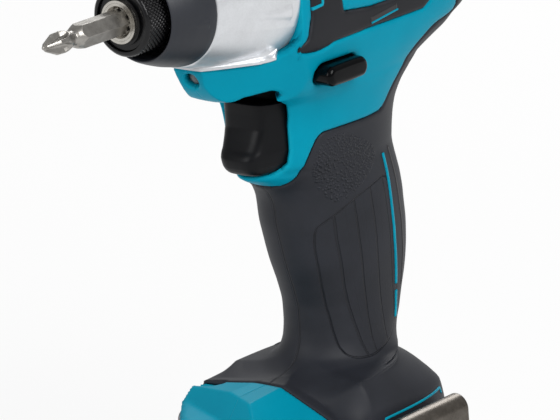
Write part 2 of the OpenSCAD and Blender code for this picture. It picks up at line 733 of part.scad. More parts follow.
module armature() color(copper) on_axis(armature_front - armature_len) difference() {
  cylinder(h = armature_len, r = armature_r);
  translate([0, 0, -overrun]) cylinder(h = armature_len + 2*overrun, r = shaft_r);
  for (k = [0 : slot_count - 1]) rotate([0, 0, 360*k/slot_count])
    translate([armature_r/2, -slot_w/2, -overrun]) cube([armature_r, slot_w, armature_len + 2*overrun]);
}

module rotor_shaft() color(bright_steel) rod(shaft_back, gear_front - shaft_back, shaft_r);

module pinion() color(steel) on_axis(gear_front - gear_w - gear_gap)
  toothed(sun_teeth, sun_tip_share, gear_w + gear_gap, shaft_r);

module commutator() color(copper) on_axis(commutator_back) difference() {
  cylinder(h = commutator_len, r = commutator_r);
  translate([0, 0, -overrun]) cylinder(h = commutator_len + 2*overrun, r = shaft_r);
  for (k = [0 : slot_count - 1]) rotate([0, 0, 360*k/slot_count])
    translate([commutator_r - air_gap, -air_gap/2, -overrun])
      cube([commutator_r, air_gap, commutator_len + 2*overrun]);
}

blade_count = 9;
module motor_fan() color(plastic_black) on_axis(fan_front - fan_len) difference() {
  union() {
    cylinder(h = fan_len/3, r = fan_r);
    cylinder(h = fan_len, r = motor_bush_r);
    for (k = [0 : blade_count - 1]) rotate([0, 0, 360*k/blade_count])
      translate([motor_bush_r - air_gap, -air_gap, 0])
        cube([fan_r - motor_bush_r - air_gap, 2*air_gap, fan_len]);
  }
  translate([0, 0, -overrun]) cylinder(h = fan_len + 2*overrun, r = shaft_r);
}

brush_len = 6;
brush_w = 4;
brush_set = 1;
brush_x = commutator_back + brush_set;
module carbon_brushes() color("#2b2b2c") for (s = [-1, 1])
  translate([brush_x, s*(commutator_r + run_gap + brush_len/2) - brush_len/2, axis_h - brush_w/2])
    cube([brush_w, brush_len, brush_w]);

holder_t = 0.8;
holder_mid_y = commutator_r + holder_t + brush_len/2;
module brush_plate() color("#c8b98c") difference() {
  union() {
    rod(can_back - plate_t, plate_t, can_r);
    for (s = [-1, 1])
      translate([can_back - plate_t/2, s*holder_mid_y - brush_len/2, axis_h - brush_w/2 - holder_t])
        cube([brush_x + brush_w + holder_t - can_back + plate_t/2, brush_len, brush_w + 2*holder_t]);
  }
  rod(can_back - plate_t - overrun, plate_t + 2*overrun, shaft_r + run_gap);
  box([brush_x, -can_r, axis_h - brush_w/2], [brush_x + brush_w, can_r, axis_h + brush_w/2]);
}

module motor_bush() color(bronze) ring(can_front - front_wall, front_wall, motor_bush_r, shaft_r + run_gap);

// Trigger and its switch
opening_gap = 0.5;
opening_side = 1.8;
trigger_floor = lip_h + opening_gap + loose_gap;
trigger_top = trigger_floor + trigger_h;
trigger_back = 8.4;
trigger_tip = 19.8;
trigger_mid_h = (trigger_floor + trigger_top)/2;
switch_front = trigger_back - trigger_travel - loose_gap;
switch_len = 30;
switch_w = 17;
plunger_r = 2.4;
plunger_len = 9;
trigger_pocket = 5;
trigger_wire = 0.7;
trigger_spring_r = plunger_r + trigger_wire;
// Side outline of the trigger: shares of its depth ahead of its back, and of its height
trigger_shares = [[0, 0], [0.56, 0], [0.85, 0.05], [0.97, 0.14], [1, 0.26], [0.86, 0.38], [0.74, 0.5],
  [0.635, 0.65], [0.595, 0.85], [0.585, 1], [0, 1]];
// Plan outline of one side of the trigger: shares of its depth and of its half width
trigger_plan_shares = [[0, 1], [0.85, 0.63], [0.96, 0.55], [1, 0.46], [1.01, 0]];
// Front outline of one side of the trigger and of its opening: shares of their half width and height
opening_shares = [[0, 0], [0.55, 0], [0.78, 0.05], [0.93, 0.15], [1, 0.32], [1, 1.1], [0.9, 1.12],
  [0.62, 1], [0, 1]];
module opening_outline(half_w, height) {
  for (s = [-1, 1]) polygon([for (p = opening_shares) [s*p[0]*half_w, p[1]*height]]);
}
module along_x(back, low, length) {
  translate([back, 0, low]) rotate([90, 0, 90]) linear_extrude(length) children();
}

module trigger() color(trigger_grey) difference() {
  union() {
    intersection() {
      translate([trigger_back, trigger_w/2, trigger_floor]) rotate([90, 0, 0]) linear_extrude(trigger_w)
        polygon([for (p = trigger_shares) [p[0]*(trigger_tip - trigger_back), p[1]*trigger_h]]);
      translate([trigger_back, 0, trigger_floor]) linear_extrude(trigger_h) for (s = [-1, 1])
        polygon(concat([[0, 0]], [for (p = trigger_plan_shares)
          [p[0]*(trigger_tip - trigger_back), s*p[1]*trigger_w/2]]));
      along_x(trigger_back, trigger_floor - skin_gap, trigger_tip)
        opening_outline(trigger_w/2 + skin_gap, trigger_h + opening_gap);
    }
    translate([trigger_back - plunger_len, 0, trigger_mid_h]) rotate([0, 90, 0])
      cylinder(h = plunger_len + trigger_pocket + overrun, r = plunger_r);
  }
  translate([trigger_back - overrun, 0, trigger_mid_h]) rotate([0, 90, 0]) difference() {
    cylinder(h = trigger_pocket + overrun, r = trigger_spring_r + trigger_wire);
    translate([0, 0, -overrun]) cylinder(h = trigger_pocket + 3*overrun, r = plunger_r);
  }
}

module trigger_spring() color(steel) translate([switch_front, 0, trigger_mid_h]) rotate([0, 90, 0])
  coil(trigger_spring_r, trigger_wire, trigger_back + trigger_pocket - switch_front, 5);

module trigger_switch() color(plastic_black) difference() {
  box([switch_front - switch_len, -switch_w/2, trigger_floor], [switch_front, switch_w/2, trigger_top]);
  translate([switch_front + overrun, 0, trigger_mid_h]) rotate([0, -90, 0])
    cylinder(h = plunger_len + trigger_travel + 2*overrun, r = plunger_r + run_gap);
}

// Reversing lever, pushed through to the left at rest
lever_mid_x = -0.5;
lever_out = 27;
lever_set = 4.7;
lever_mid_h = trigger_top + opening_gap + lever_set + lever_h/2;
module stadium(length, height) {
  square([length - height, height], center = true);
  for (s = [-1, 1]) translate([s*(length - height)/2, 0]) circle(d = height);
}
module lever_bar(grow, low, high) {
  translate([lever_mid_x, high, lever_mid_h]) rotate([90, 0, 0]) linear_extrude(high - low)
    stadium(lever_len + 2*grow, lever_h + 2*grow);
}
module reversing_lever() color("#0d0d0f") lever_bar(0, lever_travel - lever_out, lever_out);

// Lamp in the chin
lamp_r = 2.3;
lamp_len = 2.8;
lamp_tilt = 20;
lamp_drop_share = 1.6;
lamp_board_shares = [0.7, 1.4];
lamp_h = cradle_h - lamp_drop_share*lamp_r;
lamp_x = at_height(lamp_h, 1);
lamp_board_t = 1;
lamp_recess = 0.9;
module lamp_place() { translate([lamp_x, 0, lamp_h]) rotate([0, 90 + lamp_tilt, 0]) children(); }
module led_lens() color("#e9eef0") lamp_place() translate([0, 0, -lamp_recess - lamp_len])
  cylinder(h = lamp_len, r = lamp_r);
module led_board() color("#2f6b3c") lamp_place() translate([0, 0, -lamp_recess - lamp_len - lamp_board_t])
  translate([-lamp_board_shares[0]*lamp_r, -lamp_board_shares[1]*lamp_r, 0])
    cube([2*lamp_board_shares[0]*lamp_r, 2*lamp_board_shares[1]*lamp_r, lamp_board_t]);

// Foot, dock and contacts
rail_neck_share = 0.78;
rail_neck = rail_neck_share*rail_half_w;
rail_lip = 4;
rail_t = 3.5;
rail_top = dock_h + rail_lip + rail_t;
dock_clear = 0.5;
floor_t = 2.3;
floor_h = rail_top + dock_clear + floor_t;
dock_back_share = 0.86;
dock_back = dock_back_share*foot_rear;
strap_t = 0.4;
rail_back = dock_back - dock_clear;
cell_back = battery_wall + strap_t + skin_gap - rail_back;
nose_set = 3.3;
nose_wall_back = cell_back + cell_len + nose_set;
nose_wall_t = 10;
nose_wall_h = 53;
battery_front = nose_wall_back + nose_wall_t;
contact_y = 8;
contact_t = 0.8;
contact_front = -8;
contact_len = 12;
block_len = 30;
block_front = 5;
block_w = 28;
block_t = 4.5;

module terminal_block() color(plastic_black)
  box([block_front - block_len, -block_w/2, floor_h], [block_front, block_w/2, floor_h + block_t]);

module contact_blades() color("#c9b27a") for (s = [-1, 1])
  box([contact_front - contact_len, s*contact_y - contact_t/2, dock_h + rail_lip],
      [contact_front, s*contact_y + contact_t/2, floor_h]);

// Leads: points as shares of the grip's half depth about its middle, and of the way up to the switch
lead_r = 1.1;
lead_y = 3.2;
lead_shares = [[0.1, 0], [0.1, 0.08], [-0.05, 0.25], [-0.05, 0.5], [0.05, 0.75], [0.1, 0.92], [0.1, 1]];
lead_straight_share = 0.08;
lead_low = floor_h + block_t;
lead_high = trigger_floor;
function lead_x(p) = let (f = max(lead_straight_share, min(1 - lead_straight_share, p[1])))
  grip_mid(foot_top_h + f*(lip_h - foot_top_h)) + p[0]*grip_half(lead_low + f*(lead_high - lead_low));
module battery_leads() color("#8a2a2a") for (s = [-1, 1]) tube([for (p = lead_shares)
  [lead_x(p), s*lead_y, lead_low + p[1]*(lead_high - lead_low)]], lead_r, [0, 1, 0]);

// Motor leads: out of the top of the switch, back below the bearing box, along the underside of the can
motor_lead_share = 0.9;
motor_lead_x = switch_front - motor_lead_share*switch_len;
motor_lead_h = axis_h - can_r - skin_gap - lead_r;
motor_lead_shares = [[0, 0], [0, 0.2], [0.04, 0.42], [0.15, 0.68], [0.25, 0.92], [0.32, 1], [0.66, 1],
  [1, 1]];
module motor_leads() color("#8a2a2a") for (s = [-1, 1]) tube([for (p = motor_lead_shares)
  [motor_lead_x + p[0]*(can_back - motor_lead_x), s*lead_y, trigger_top + p[1]*(motor_lead_h - trigger_top)]],
  lead_r, [0, 1, 0]);
module lead_channel() {
  box([can_back - plate_t, -lead_y - lead_r - loose_gap, motor_lead_h - lead_r - loose_gap],
      [motor_lead_x, lead_y + lead_r + loose_gap, axis_h]);
}

// Screws through the housing: shares of the half depth about the middle, and heights
screw_r = 1.5;
screw_head_r = 2.9;
screw_boss_r = 3.4;
screw_sink = 2.5;
screw_reach = 9;
screw_rise_shares = [0.62, 0.47, 0.19, 0.86, 0.52];
screw_heights = [
  foot_base_h + screw_rise_shares[0]*(foot_top_h - foot_base_h),
  foot_base_h + screw_rise_shares[1]*(foot_top_h - foot_base_h),
  foot_top_h + screw_rise_shares[2]*(lip_h - foot_top_h),
  foot_top_h + screw_rise_shares[3]*(lip_h - foot_top_h),
  lip_h + screw_rise_shares[4]*(axis_h - lip_h)
];
screw_depth_shares = [-0.74, 0.53, -0.55, 0.52, -0.62];
screw_places = [for (i = [0 : len(screw_heights) - 1])
  [grip_mid(screw_heights[i]) + screw_depth_shares[i]*grip_half(screw_heights[i]), screw_heights[i]]];
function screw_seat(i) = screw_sink - side_at(screw_places[i][0], screw_places[i][1]);
module housing_screws() color(steel) for (i = [0 : len(screw_places) - 1]) let (p = screw_places[i]) union() {
  across(p[0], p[1], screw_seat(i), screw_reach, screw_r);
  across(p[0], p[1], screw_seat(i) - screw_sink/2, screw_seat(i), screw_head_r);
}
module screw_bosses() {
  for (p = screw_places) across(p[0], p[1], -foot_w/2, foot_w/2, screw_boss_r);
}
module screw_holes() {
  for (i = [0 : len(screw_places) - 1]) let (p = screw_places[i]) {
    across(p[0], p[1], -foot_w, screw_reach + overrun, screw_r + skin_gap);
    across(p[0], p[1], -foot_w, screw_seat(i), screw_head_r + loose_gap);
  }
}

// Belt clip on the left of the foot, with a threaded insert on each side
clip_mid_x = -19;
insert_r = 3;
insert_len = 7;
insert_edge = 0.8;
insert_flush = foot_w/2 - skin_gap;
clip_screw_h = foot_base_h + insert_edge + insert_r;
clip_head_r = 2.8;
clip_head_t = 2;
clip_base_y = foot_w/2 + skin_gap;
clip_bend_r = (clip_gap + clip_t)/2;
clip_bend_h = clip_screw_h + clip_head_r + loose_gap;
clip_leg_y = clip_base_y + 2*clip_bend_r;
clip_tail_h = 10;
clip_lip_out = 2;
clip_slot_t = 1.2;
clip_slot_h = clip_bend_h + clip_bend_r + clip_t/2 + opening_gap;
module clip_inserts() color("#c2a25a") for (s = [-1, 1]) difference() {
  across(clip_mid_x, clip_screw_h, s > 0 ? insert_flush - insert_len : -insert_flush,
         s > 0 ? insert_flush : insert_len - insert_flush, insert_r);
  across(clip_mid_x, clip_screw_h, s > 0 ? insert_flush - insert_len + overrun : -insert_flush - overrun,
         s > 0 ? insert_flush + overrun : insert_len - insert_flush - overrun, clip_thread_r);
}
// Strip outline in Y and Z: a base on the foot, a half-round hump and a long leg with a flared end
clip_bend_steps = [0 : 15 : 180];
function clip_bend(r, a) = [clip_base_y + clip_t/2 + clip_bend_r - r*cos(a), clip_bend_h + r*sin(a)];
module clip_profile() {
  polygon(concat(
    [[clip_base_y, foot_base_h + skin_gap]],
    [for (a = clip_bend_steps) clip_bend(clip_bend_r + clip_t/2, a)],
    [[clip_leg_y + clip_t, clip_tail_h], [clip_leg_y + clip_t + clip_lip_out, clip_tail_h/2]],
    [[clip_leg_y + clip_lip_out, clip_tail_h/2], [clip_leg_y, clip_tail_h]],
    [for (a = clip_bend_steps) clip_bend(clip_bend_r - clip_t/2, 180 - a)],
    [[clip_base_y + clip_t, foot_base_h + skin_gap]]));
}
module belt_clip() color("#77706a") difference() {
  translate([clip_mid_x - clip_w/2, 0, 0]) rotate([90, 0, 90]) linear_extrude(clip_w) clip_profile();
  across(clip_mid_x, clip_screw_h, clip_base_y - overrun, clip_base_y + clip_t + overrun,
         clip_thread_r + skin_gap);
  across(clip_mid_x, clip_screw_h, clip_leg_y - overrun, clip_leg_y + clip_t + overrun, insert_r);
}
module clip_screw() color(steel) {
  across(clip_mid_x, clip_screw_h, insert_flush - insert_len + 2*overrun, clip_base_y + clip_t,
         clip_thread_r - run_gap);
  across(clip_mid_x, clip_screw_h, clip_base_y + clip_t, clip_base_y + clip_t + clip_head_t, clip_head_r);
}

// Side outlines of the soft skins, as [x, z] points on the sizes they follow
function head_side(p) = [p[0]*head_rear, lip_h + p[1]*(axis_h - lip_h)];
grip_edge_shares = [[0.34, -0.04], [0.19, -0.04], [0.145, -0.005], [0.084, 0.128], [0.05, 0.178],
  [0.006, 0.202], [-0.315, 0.198], [-0.366, 0.221], [-0.415, 0.309], [-0.452, 0.376], [-0.503, 0.464],
  [-0.558, 0.525], [-0.621, 0.571], [-0.75, 0.586], [-0.771, 0.626], [-0.752, 0.697], [-0.767, 1.02],
  [-0.822, 1.32], [-0.904, 1.6], [-1.2, 1.6]];
grip_span_shares = [0.34, -1.2];
module grip_outline() {
  polygon(concat([for (p = grip_edge_shares) head_side(p)],
    [[grip_span_shares[1]*head_rear, 0], [toe_edge, 0], [toe_edge, foot_top_h + wall],
     [grip_span_shares[0]*head_rear, foot_top_h + wall]]));
}
pad_edge_shares = [[0.226, 0.687], [0.148, 0.757], [0.144, 1.1], [0.12, 1.24], [-0.66, 1.24],
  [-0.69, 1.2], [-0.69, 0.69], [0, 0.694], [0.068, 0.667], [0.144, 0.663]];
panel_shares = [[-0.04, 0.802], [-0.03, 0.9], [-0.02, 1.1], [-0.62, 1.1], [-0.64, 0.802]];
module pad_outline() {
  difference() {
    polygon([for (p = pad_edge_shares) head_side(p)]);
    polygon([for (p = panel_shares) head_side(p)]);
  }
}
module through(half_w) { translate([0, half_w, 0]) rotate([90, 0, 0]) linear_extrude(2*half_w) children(); }

// Housing halves: a shell with seats for what it holds, parted at the middle plane
vent_shares = [[-0.27, 0.743, 0.158], [-0.44, 1.17, 0.13], [-0.6, 1.17, 0.13]];
vent_t = 1.6;
vent_tilt = 6.5;
module side(s) {
  translate([-2*head_rear, s > 0 ? 0 : -2*head_w, 0]) cube([4*head_rear, 2*head_w, 2*crown_h]);
}
module inside() {
  intersection() {
    body_drawn_in(wall);
    box([-head_rear, -head_w, floor_h], [head_rear, head_w, crown_h]);
  }
}
rib_t = 2.5;
rib_shares = [0.3, 0.8];
switch_rib_share = 0.6;
module ribs() {
  for (f = rib_shares) {
    box([can_front - f*can_len - rib_t, -head_w, axis_h - head_rise],
        [can_front - f*can_len, head_w, crown_h]);
    box([switch_front - f*switch_len - rib_t, -head_w, trigger_floor],
        [switch_front - f*switch_len, head_w, trigger_top]);
  }
  for (h = [trigger_floor - rib_t, trigger_top])
    box([switch_front - switch_rib_share*switch_len - rib_t, -head_w, h],
        [switch_front - switch_rib_share*switch_len, head_w, h + rib_t]);
}
module seats() {
  rod(box_back - skin_gap, case_edge - box_back + skin_gap, spigot_r + skin_gap, $fn = large_round);
  rod(can_back - plate_t - loose_gap, can_len + plate_t + loose_gap, can_r + skin_gap, $fn = large_round);
  on_axis(case_edge - skin_gap) cylinder(h = bumper_rear - case_edge + overrun, r1 = case_r + loose_gap,
    r2 = case_front_r + loose_gap, $fn = large_round);
  lead_channel();
  box([case_edge - skin_gap, -head_w, cradle_h], [2*nose_reach, head_w, crown_h + overrun]);
  rod(bumper_rear - overrun, bumper_len + 2*overrun, bumper_r + loose_gap, $fn = large_round);
  box([switch_front - switch_len - skin_gap, -switch_w/2 - skin_gap, trigger_floor - skin_gap],
      [switch_front + overrun, switch_w/2 + skin_gap, trigger_top + skin_gap]);
  along_x(switch_front - overrun, trigger_floor - loose_gap, 2*nose_reach)
    opening_outline(trigger_w/2 + opening_side, trigger_h + loose_gap + opening_gap);
  lever_bar(loose_gap, -head_w, head_w);
  lamp_place() translate([0, 0, -lamp_recess - lamp_len - skin_gap])
    cylinder(h = 2*lamp_len + lamp_recess, r = lamp_r + skin_gap);
  lamp_place() translate([-lamp_board_shares[0]*lamp_r - skin_gap, -lamp_board_shares[1]*lamp_r - skin_gap,
                          -lamp_recess - lamp_len - lamp_board_t - skin_gap])
    cube([2*lamp_board_shares[0]*lamp_r + 2*skin_gap, 2*lamp_board_shares[1]*lamp_r + 2*skin_gap,
          lamp_board_t + 2*skin_gap]);
  screw_holes();
}
// A round-ended scoop across the right shoulder, just ahead of the toe's edge
scoop_r = 2.6;
scoop_drop = 1.6;
scoop_inner_share = 0.65;
module scoop() {
  translate([toe_edge + scoop_r + loose_gap, -scoop_inner_share*foot_w/2, foot_top_h - scoop_drop]) {
    sphere(r = scoop_r);
    rotate([90, 0, 0]) cylinder(h = foot_w, r = scoop_r);
  }
}
module dock_cut() {
  box([-dock_back, -rail_half_w - dock_clear, dock_h + rail_lip - dock_clear],
      [2*foot_front, rail_half_w + dock_clear, rail_top + dock_clear]);
  box([-dock_back, -rail_neck - dock_clear, 0], [2*foot_front, rail_neck + dock_clear, rail_top]);
  box([nose_wall_back - dock_clear, -foot_w, 0], [2*foot_front, foot_w, nose_wall_h + dock_clear]);
  for (s = [-1, 1]) box(
    [contact_front - contact_len - skin_gap, s*contact_y - contact_t/2 - skin_gap, dock_h],
    [contact_front + skin_gap, s*contact_y + contact_t/2 + skin_gap, floor_h + overrun]);
  across(clip_mid_x, clip_screw_h, -insert_flush - foot_w, insert_len - insert_flush + skin_gap,
         insert_r + skin_gap);
  across(clip_mid_x, clip_screw_h, insert_flush - insert_len - skin_gap, foot_w, insert_r + skin_gap);
  box([clip_mid_x - clip_w/2, foot_w/2 - skin - clip_slot_t, clip_slot_h],
      [clip_mid_x + clip_w/2, foot_w, clip_slot_h + clip_slot_t]);
}
module vents() {
  for (p = vent_shares) translate([head_side(p)[0], 0, head_side(p)[1]]) rotate([90, 0, 0])
    linear_extrude(2*head_w, center = true) rotate(-vent_tilt) stadium(p[2]*head_rear, vent_t);
}
module skin_recess() {
  difference() {
    union() {
      through(head_w) grip_outline();
      through(head_w) pad_outline();
    }
    body_drawn_in(skin + skin_gap);
  }
}
module housing_half(s, $fn = small_round) {
  one_mesh() intersection() {
    side(s);
    difference() {
      union() {
        difference() {
          body_outside();
          inside();
        }
        intersection() {
          body_drawn_in(wall/2);
          union() {
            ribs();
            screw_bosses();
          }
        }
      }
      seats();
      dock_cut();
      scoop();
      vents();
      skin_recess();
    }
  }
}
module housing_left() color(teal) housing_half(1);
module housing_right() color(teal) housing_half(-1);

module skin_piece(s, $fn = small_round) {
  one_mesh() intersection() {
    side(s);
    difference() {
      intersection() {
        body_outside();
        through(head_w) offset(delta = -skin_gap) children();
      }
      body_drawn_in(skin);
      seats();
      dock_cut();
      vents();
    }
  }
}
module grip_left() color(rubber_black) skin_piece(1) grip_outline();
module grip_right() color(rubber_black) skin_piece(-1) grip_outline();
module side_pad_left() color(rubber_black) skin_piece(1) pad_outline();
module side_pad_right() color(rubber_black) skin_piece(-1) pad_outline();

// Battery: a tray and a cover with a rail, holding three cells
battery_r = 9;
battery_split_h = 20;
battery_rear = foot_rear;
cell_side = cell_r + loose_gap;
cell_low_h = battery_wall + cell_r + loose_gap;
cell_high_h = cell_low_h + sqrt(3)*cell_side;
board_t = 1.4;
board_h = cell_high_h + cell_r + skin_gap;
saddle_t = 3;
saddle_shares = [0.2, 0.75];
module plan(grow) {
  r = battery_r + grow;
  for (sx = [-battery_rear + battery_r, battery_front - battery_r], sy = [-1, 1])
    translate([sx, sy*(foot_w/2 - battery_r)]) circle(r = r);
  translate([-battery_rear - grow, -foot_w/2 + battery_r])
    square([battery_rear + battery_front + 2*grow, foot_w - 2*battery_r]);
  translate([-battery_rear + battery_r, -foot_w/2 - grow])
    square([battery_rear + battery_front - 2*battery_r, foot_w + 2*grow]);
}
module slab(low, high, grow) { translate([0, 0, low]) linear_extrude(high - low) plan(grow); }

latch_back = nose_wall_back + battery_wall + dock_clear;
latch_t = 5.2;
latch_w = 16.2;
latch_low = 36.6;
latch_high = nose_wall_h - opening_gap;
latch_pad_out = 0.6;
latch_pad_h = 6;
latch_pad_in = 1;
latch_pad_low = latch_high - latch_pad_h - latch_pad_in;
latch_spring_low = 27;
latch_spring_r = 2;
latch_wire = 0.6;
module latch_room() {
  box([latch_back - loose_gap, -latch_w/2 - loose_gap, latch_spring_low],
      [latch_back + latch_t + loose_gap, latch_w/2 + loose_gap, nose_wall_h + overrun]);
  box([latch_back, -latch_w/2 + latch_pad_in - loose_gap, latch_pad_low - latch_travel - loose_gap],
      [2*battery_front, latch_w/2 - latch_pad_in + loose_gap, latch_pad_low + latch_pad_h + loose_gap]);
}
module battery_tray() color(plastic_black) union() {
  difference() {
    slab(0, battery_split_h, 0);
    slab(battery_wall, battery_split_h + overrun, -battery_wall);
  }
  difference() {
    for (f = saddle_shares) box([cell_back + f*cell_len, -foot_w/2 + battery_wall, battery_wall],
      [cell_back + f*cell_len + saddle_t, foot_w/2 - battery_wall, cell_low_h]);
    for (s = [-1, 1]) translate([cell_back - overrun, s*cell_side, cell_low_h]) rotate([0, 90, 0])
      cylinder(h = cell_len + 2*overrun, r = cell_r + skin_gap);
  }
}
module battery_cover() color(plastic_black) difference() {
  union() {
    difference() {
      slab(battery_split_h, dock_h, 0);
      slab(battery_split_h - overrun, dock_h - battery_wall, -battery_wall);
    }
    box([-rail_back, -rail_neck, dock_h - battery_wall], [nose_wall_back, rail_neck, rail_top]);
    box([-rail_back, -rail_half_w, dock_h + rail_lip], [nose_wall_back, rail_half_w, rail_top]);
    difference() {
      slab(dock_h - battery_wall, nose_wall_h, 0);
      box([-2*battery_rear, -foot_w, 0], [nose_wall_back, foot_w, nose_wall_h + overrun]);
      for (s = [-1, 1]) translate([toe_corner[0], s*toe_corner[1], dock_h]) mirror([0, s < 0 ? 1 : 0, 0])
        rotate(atan2(toe_corner_n[1], toe_corner_n[0])) translate([0, -foot_w, 0])
          cube([foot_w, 2*foot_w, nose_wall_h]);
    }
    box([latch_back - battery_wall, -latch_w/2 - battery_wall, latch_spring_low - battery_wall],
        [battery_front - battery_wall/2, latch_w/2 + battery_wall, dock_h]);
  }
  latch_room();
  box([-rail_back + battery_wall, -rail_neck + battery_wall, battery_split_h],
      [nose_wall_back - battery_wall, rail_neck - battery_wall, rail_top - battery_wall]);
  for (s = [-1, 1]) box([-rail_back - overrun, s*contact_y - contact_t, dock_h + rail_lip - dock_clear],
    [contact_front + overrun, s*contact_y + contact_t, rail_top + overrun]);
}
module battery_cells() color("#3f8fae") {
  for (p = [[-cell_side, cell_low_h], [cell_side, cell_low_h], [0, cell_high_h]])
    translate([cell_back, p[0], p[1]]) rotate([0, 90, 0]) cylinder(h = cell_len, r = cell_r);
}
module cell_straps() color(bright_steel) {
  box([cell_back - strap_t, -cell_side - contact_y/2, cell_low_h - contact_y/4],
      [cell_back, cell_side + contact_y/2, cell_low_h + contact_y/4]);
  box([cell_back + cell_len, -contact_y/4, cell_low_h],
      [cell_back + cell_len + strap_t, contact_y/4, cell_high_h + contact_y/4]);
}
module battery_board() color("#2f6b3c")
  box([contact_front - 2*contact_len, -rail_neck + battery_wall + loose_gap, board_h],
      [nose_wall_back - 2*battery_wall, rail_neck - battery_wall - loose_gap, board_h + board_t]);
module battery_latch() color(trigger_grey) {
  box([latch_back, -latch_w/2, latch_low], [latch_back + latch_t, latch_w/2, latch_high]);
  box([latch_back + latch_t, -latch_w/2 + latch_pad_in, latch_pad_low],
      [battery_front + latch_pad_out, latch_w/2 - latch_pad_in, latch_pad_low + latch_pad_h]);
}
module latch_spring() color(steel) translate([latch_back + latch_t/2, 0, latch_spring_low])
  coil(latch_spring_r, latch_wire, latch_low - latch_spring_low, 6);

housing_left();
housing_right();
grip_left();
grip_right();
side_pad_left();
side_pad_right();
hammer_case();
nose_bumper();
front_bush();
bit();
anvil();
sleeve();
sleeve_spring();
spring_washer();
retaining_ring();
detent_ball_upper();
detent_ball_lower();
hammer();
cam_balls();
hammer_spring();
thrust_washer();
spindle();
planet_pins();
planet_gear_a();
planet_gear_b();
ring_gear();
bearing_box();
spindle_bearing();
motor_can();
motor_magnets();
armature();
rotor_shaft();
pinion();
commutator();
motor_fan();
carbon_brushes();
brush_plate();
motor_bush();
trigger_switch();
trigger();
trigger_spring();
reversing_lever();
led_lens();
led_board();
terminal_block();
contact_blades();
battery_leads();
motor_leads();
clip_inserts();
belt_clip();
clip_screw();
housing_screws();
battery_tray();
battery_cover();
battery_cells();
cell_straps();
battery_board();
battery_latch();
latch_spring();
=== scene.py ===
import bpy, bmesh, json
import numpy as np
from mathutils import Matrix, Vector


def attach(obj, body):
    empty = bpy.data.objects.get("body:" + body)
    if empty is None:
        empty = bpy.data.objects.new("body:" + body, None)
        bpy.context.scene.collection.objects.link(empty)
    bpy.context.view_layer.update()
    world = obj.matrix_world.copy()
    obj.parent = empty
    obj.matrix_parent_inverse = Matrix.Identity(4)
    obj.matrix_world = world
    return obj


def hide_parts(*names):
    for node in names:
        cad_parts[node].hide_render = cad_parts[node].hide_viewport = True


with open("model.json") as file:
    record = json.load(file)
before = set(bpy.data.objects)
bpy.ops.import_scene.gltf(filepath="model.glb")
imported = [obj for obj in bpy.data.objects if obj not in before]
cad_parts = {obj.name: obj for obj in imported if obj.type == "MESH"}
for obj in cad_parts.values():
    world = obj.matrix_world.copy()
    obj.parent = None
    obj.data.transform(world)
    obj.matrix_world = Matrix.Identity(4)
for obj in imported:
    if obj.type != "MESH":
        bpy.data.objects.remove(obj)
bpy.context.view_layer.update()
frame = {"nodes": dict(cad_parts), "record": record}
SCENE = bpy.context.scene
MM = 0.001

# Sizes of the driver, in millimetres
AXIS_H, HEAD_RISE, HEAD_W, HEAD_REAR = 177.0, 27.0, 50.0, 73.0
CHIN_REACH, CHIN_HALF, CRADLE_H = 36.8, 4.75, 157.5
GRIP_MID, GRIP_DEPTH, GRIP_W, LIP_H = -20.0, 49.0, 34.6, 121.4
FOOT_BASE, FOOT_TOP, FOOT_FRONT, FOOT_REAR, FOOT_W = 38.4, 61.0, 41.0, 44.5, 54.0
TOE_EDGE, CASE_EDGE, CASE_CORNER = 10.4, 14.5, 8.5
NOSE_WALL, NOSE_TOP = 32.5, 53.5
LEVER_MID, LEVER_H = -0.5, 151.0
CLIP_X, CLIP_H = -19.0, 42.2
FADE = 10.25  # length over which a flat runs out
CHIN_NORMAL = (.56, .76, -.33)  # of the chin's left flat
GROOVE_R, GROOVE_AHEAD, GROOVE_DROP, GROOVE_END, GROOVE_WALL = 2.6, 4, 1.9, .65, 1.4
LEDGE_H = 54.3  # one of the toe's flats ends above this height
SEAM = .09  # half of the gap between shell and rubber
SHARP = .7  # edges with a greater angle are rounded
TINY, FAR = 1e-6, 9  # next to nothing, and out of reach
AHEAD, LEFT, UP = np.eye(3)
AXIS = AXIS_H*UP
SIDES = (("left", 1), ("right", -1))

# Sections of the body as shares: height, front, back, half width, front power, back power
FOOT = [(0, 1, 1, 1, 5, 4), (.5, 1, .995, 1, 5, 3.3), (.6, 1, .98, 1, 5, 2.8), (.72, 1, .952, .975, 5, 2.3),
        (.82, 1, .905, .94, 4.5, 2.1), (.9, .98, .85, .905, 4, 2), (.955, .9, .805, .865, 3.4, 2),
        (.98, .66, .785, .835, 2.8, 2), (1, .28, .765, .79, 2.4, 2)]
GRIP = [(.025, .531, .345, .95, 2, 2.1), (.066, .429, .345, .86, 1.95, 2.2), (.132, .386, .36, .825, 1.95, 2.3),
        (.2, .373, .386, .827, 1.95, 2.4), (.285, .371, .416, .845, 1.95, 2.4), (.387, .396, .453, .89, 1.95, 2.35),
        (.521, .447, .482, .96, 1.95, 2.2), (.629, .478, .492, .994, 1.95, 2.1), (.728, .506, .492, 1, 1.95, 2.05),
        (.828, .518, .478, .994, 1.95, 2.05), (.894, .555, .461, .988, 1.9, 2.05), (.944, .624, .451, .983, 1.8, 2.05),
        (.977, .706, .449, .983, 1.65, 2.05), (1, .739, .449, .983, 1.65, 2.05)]
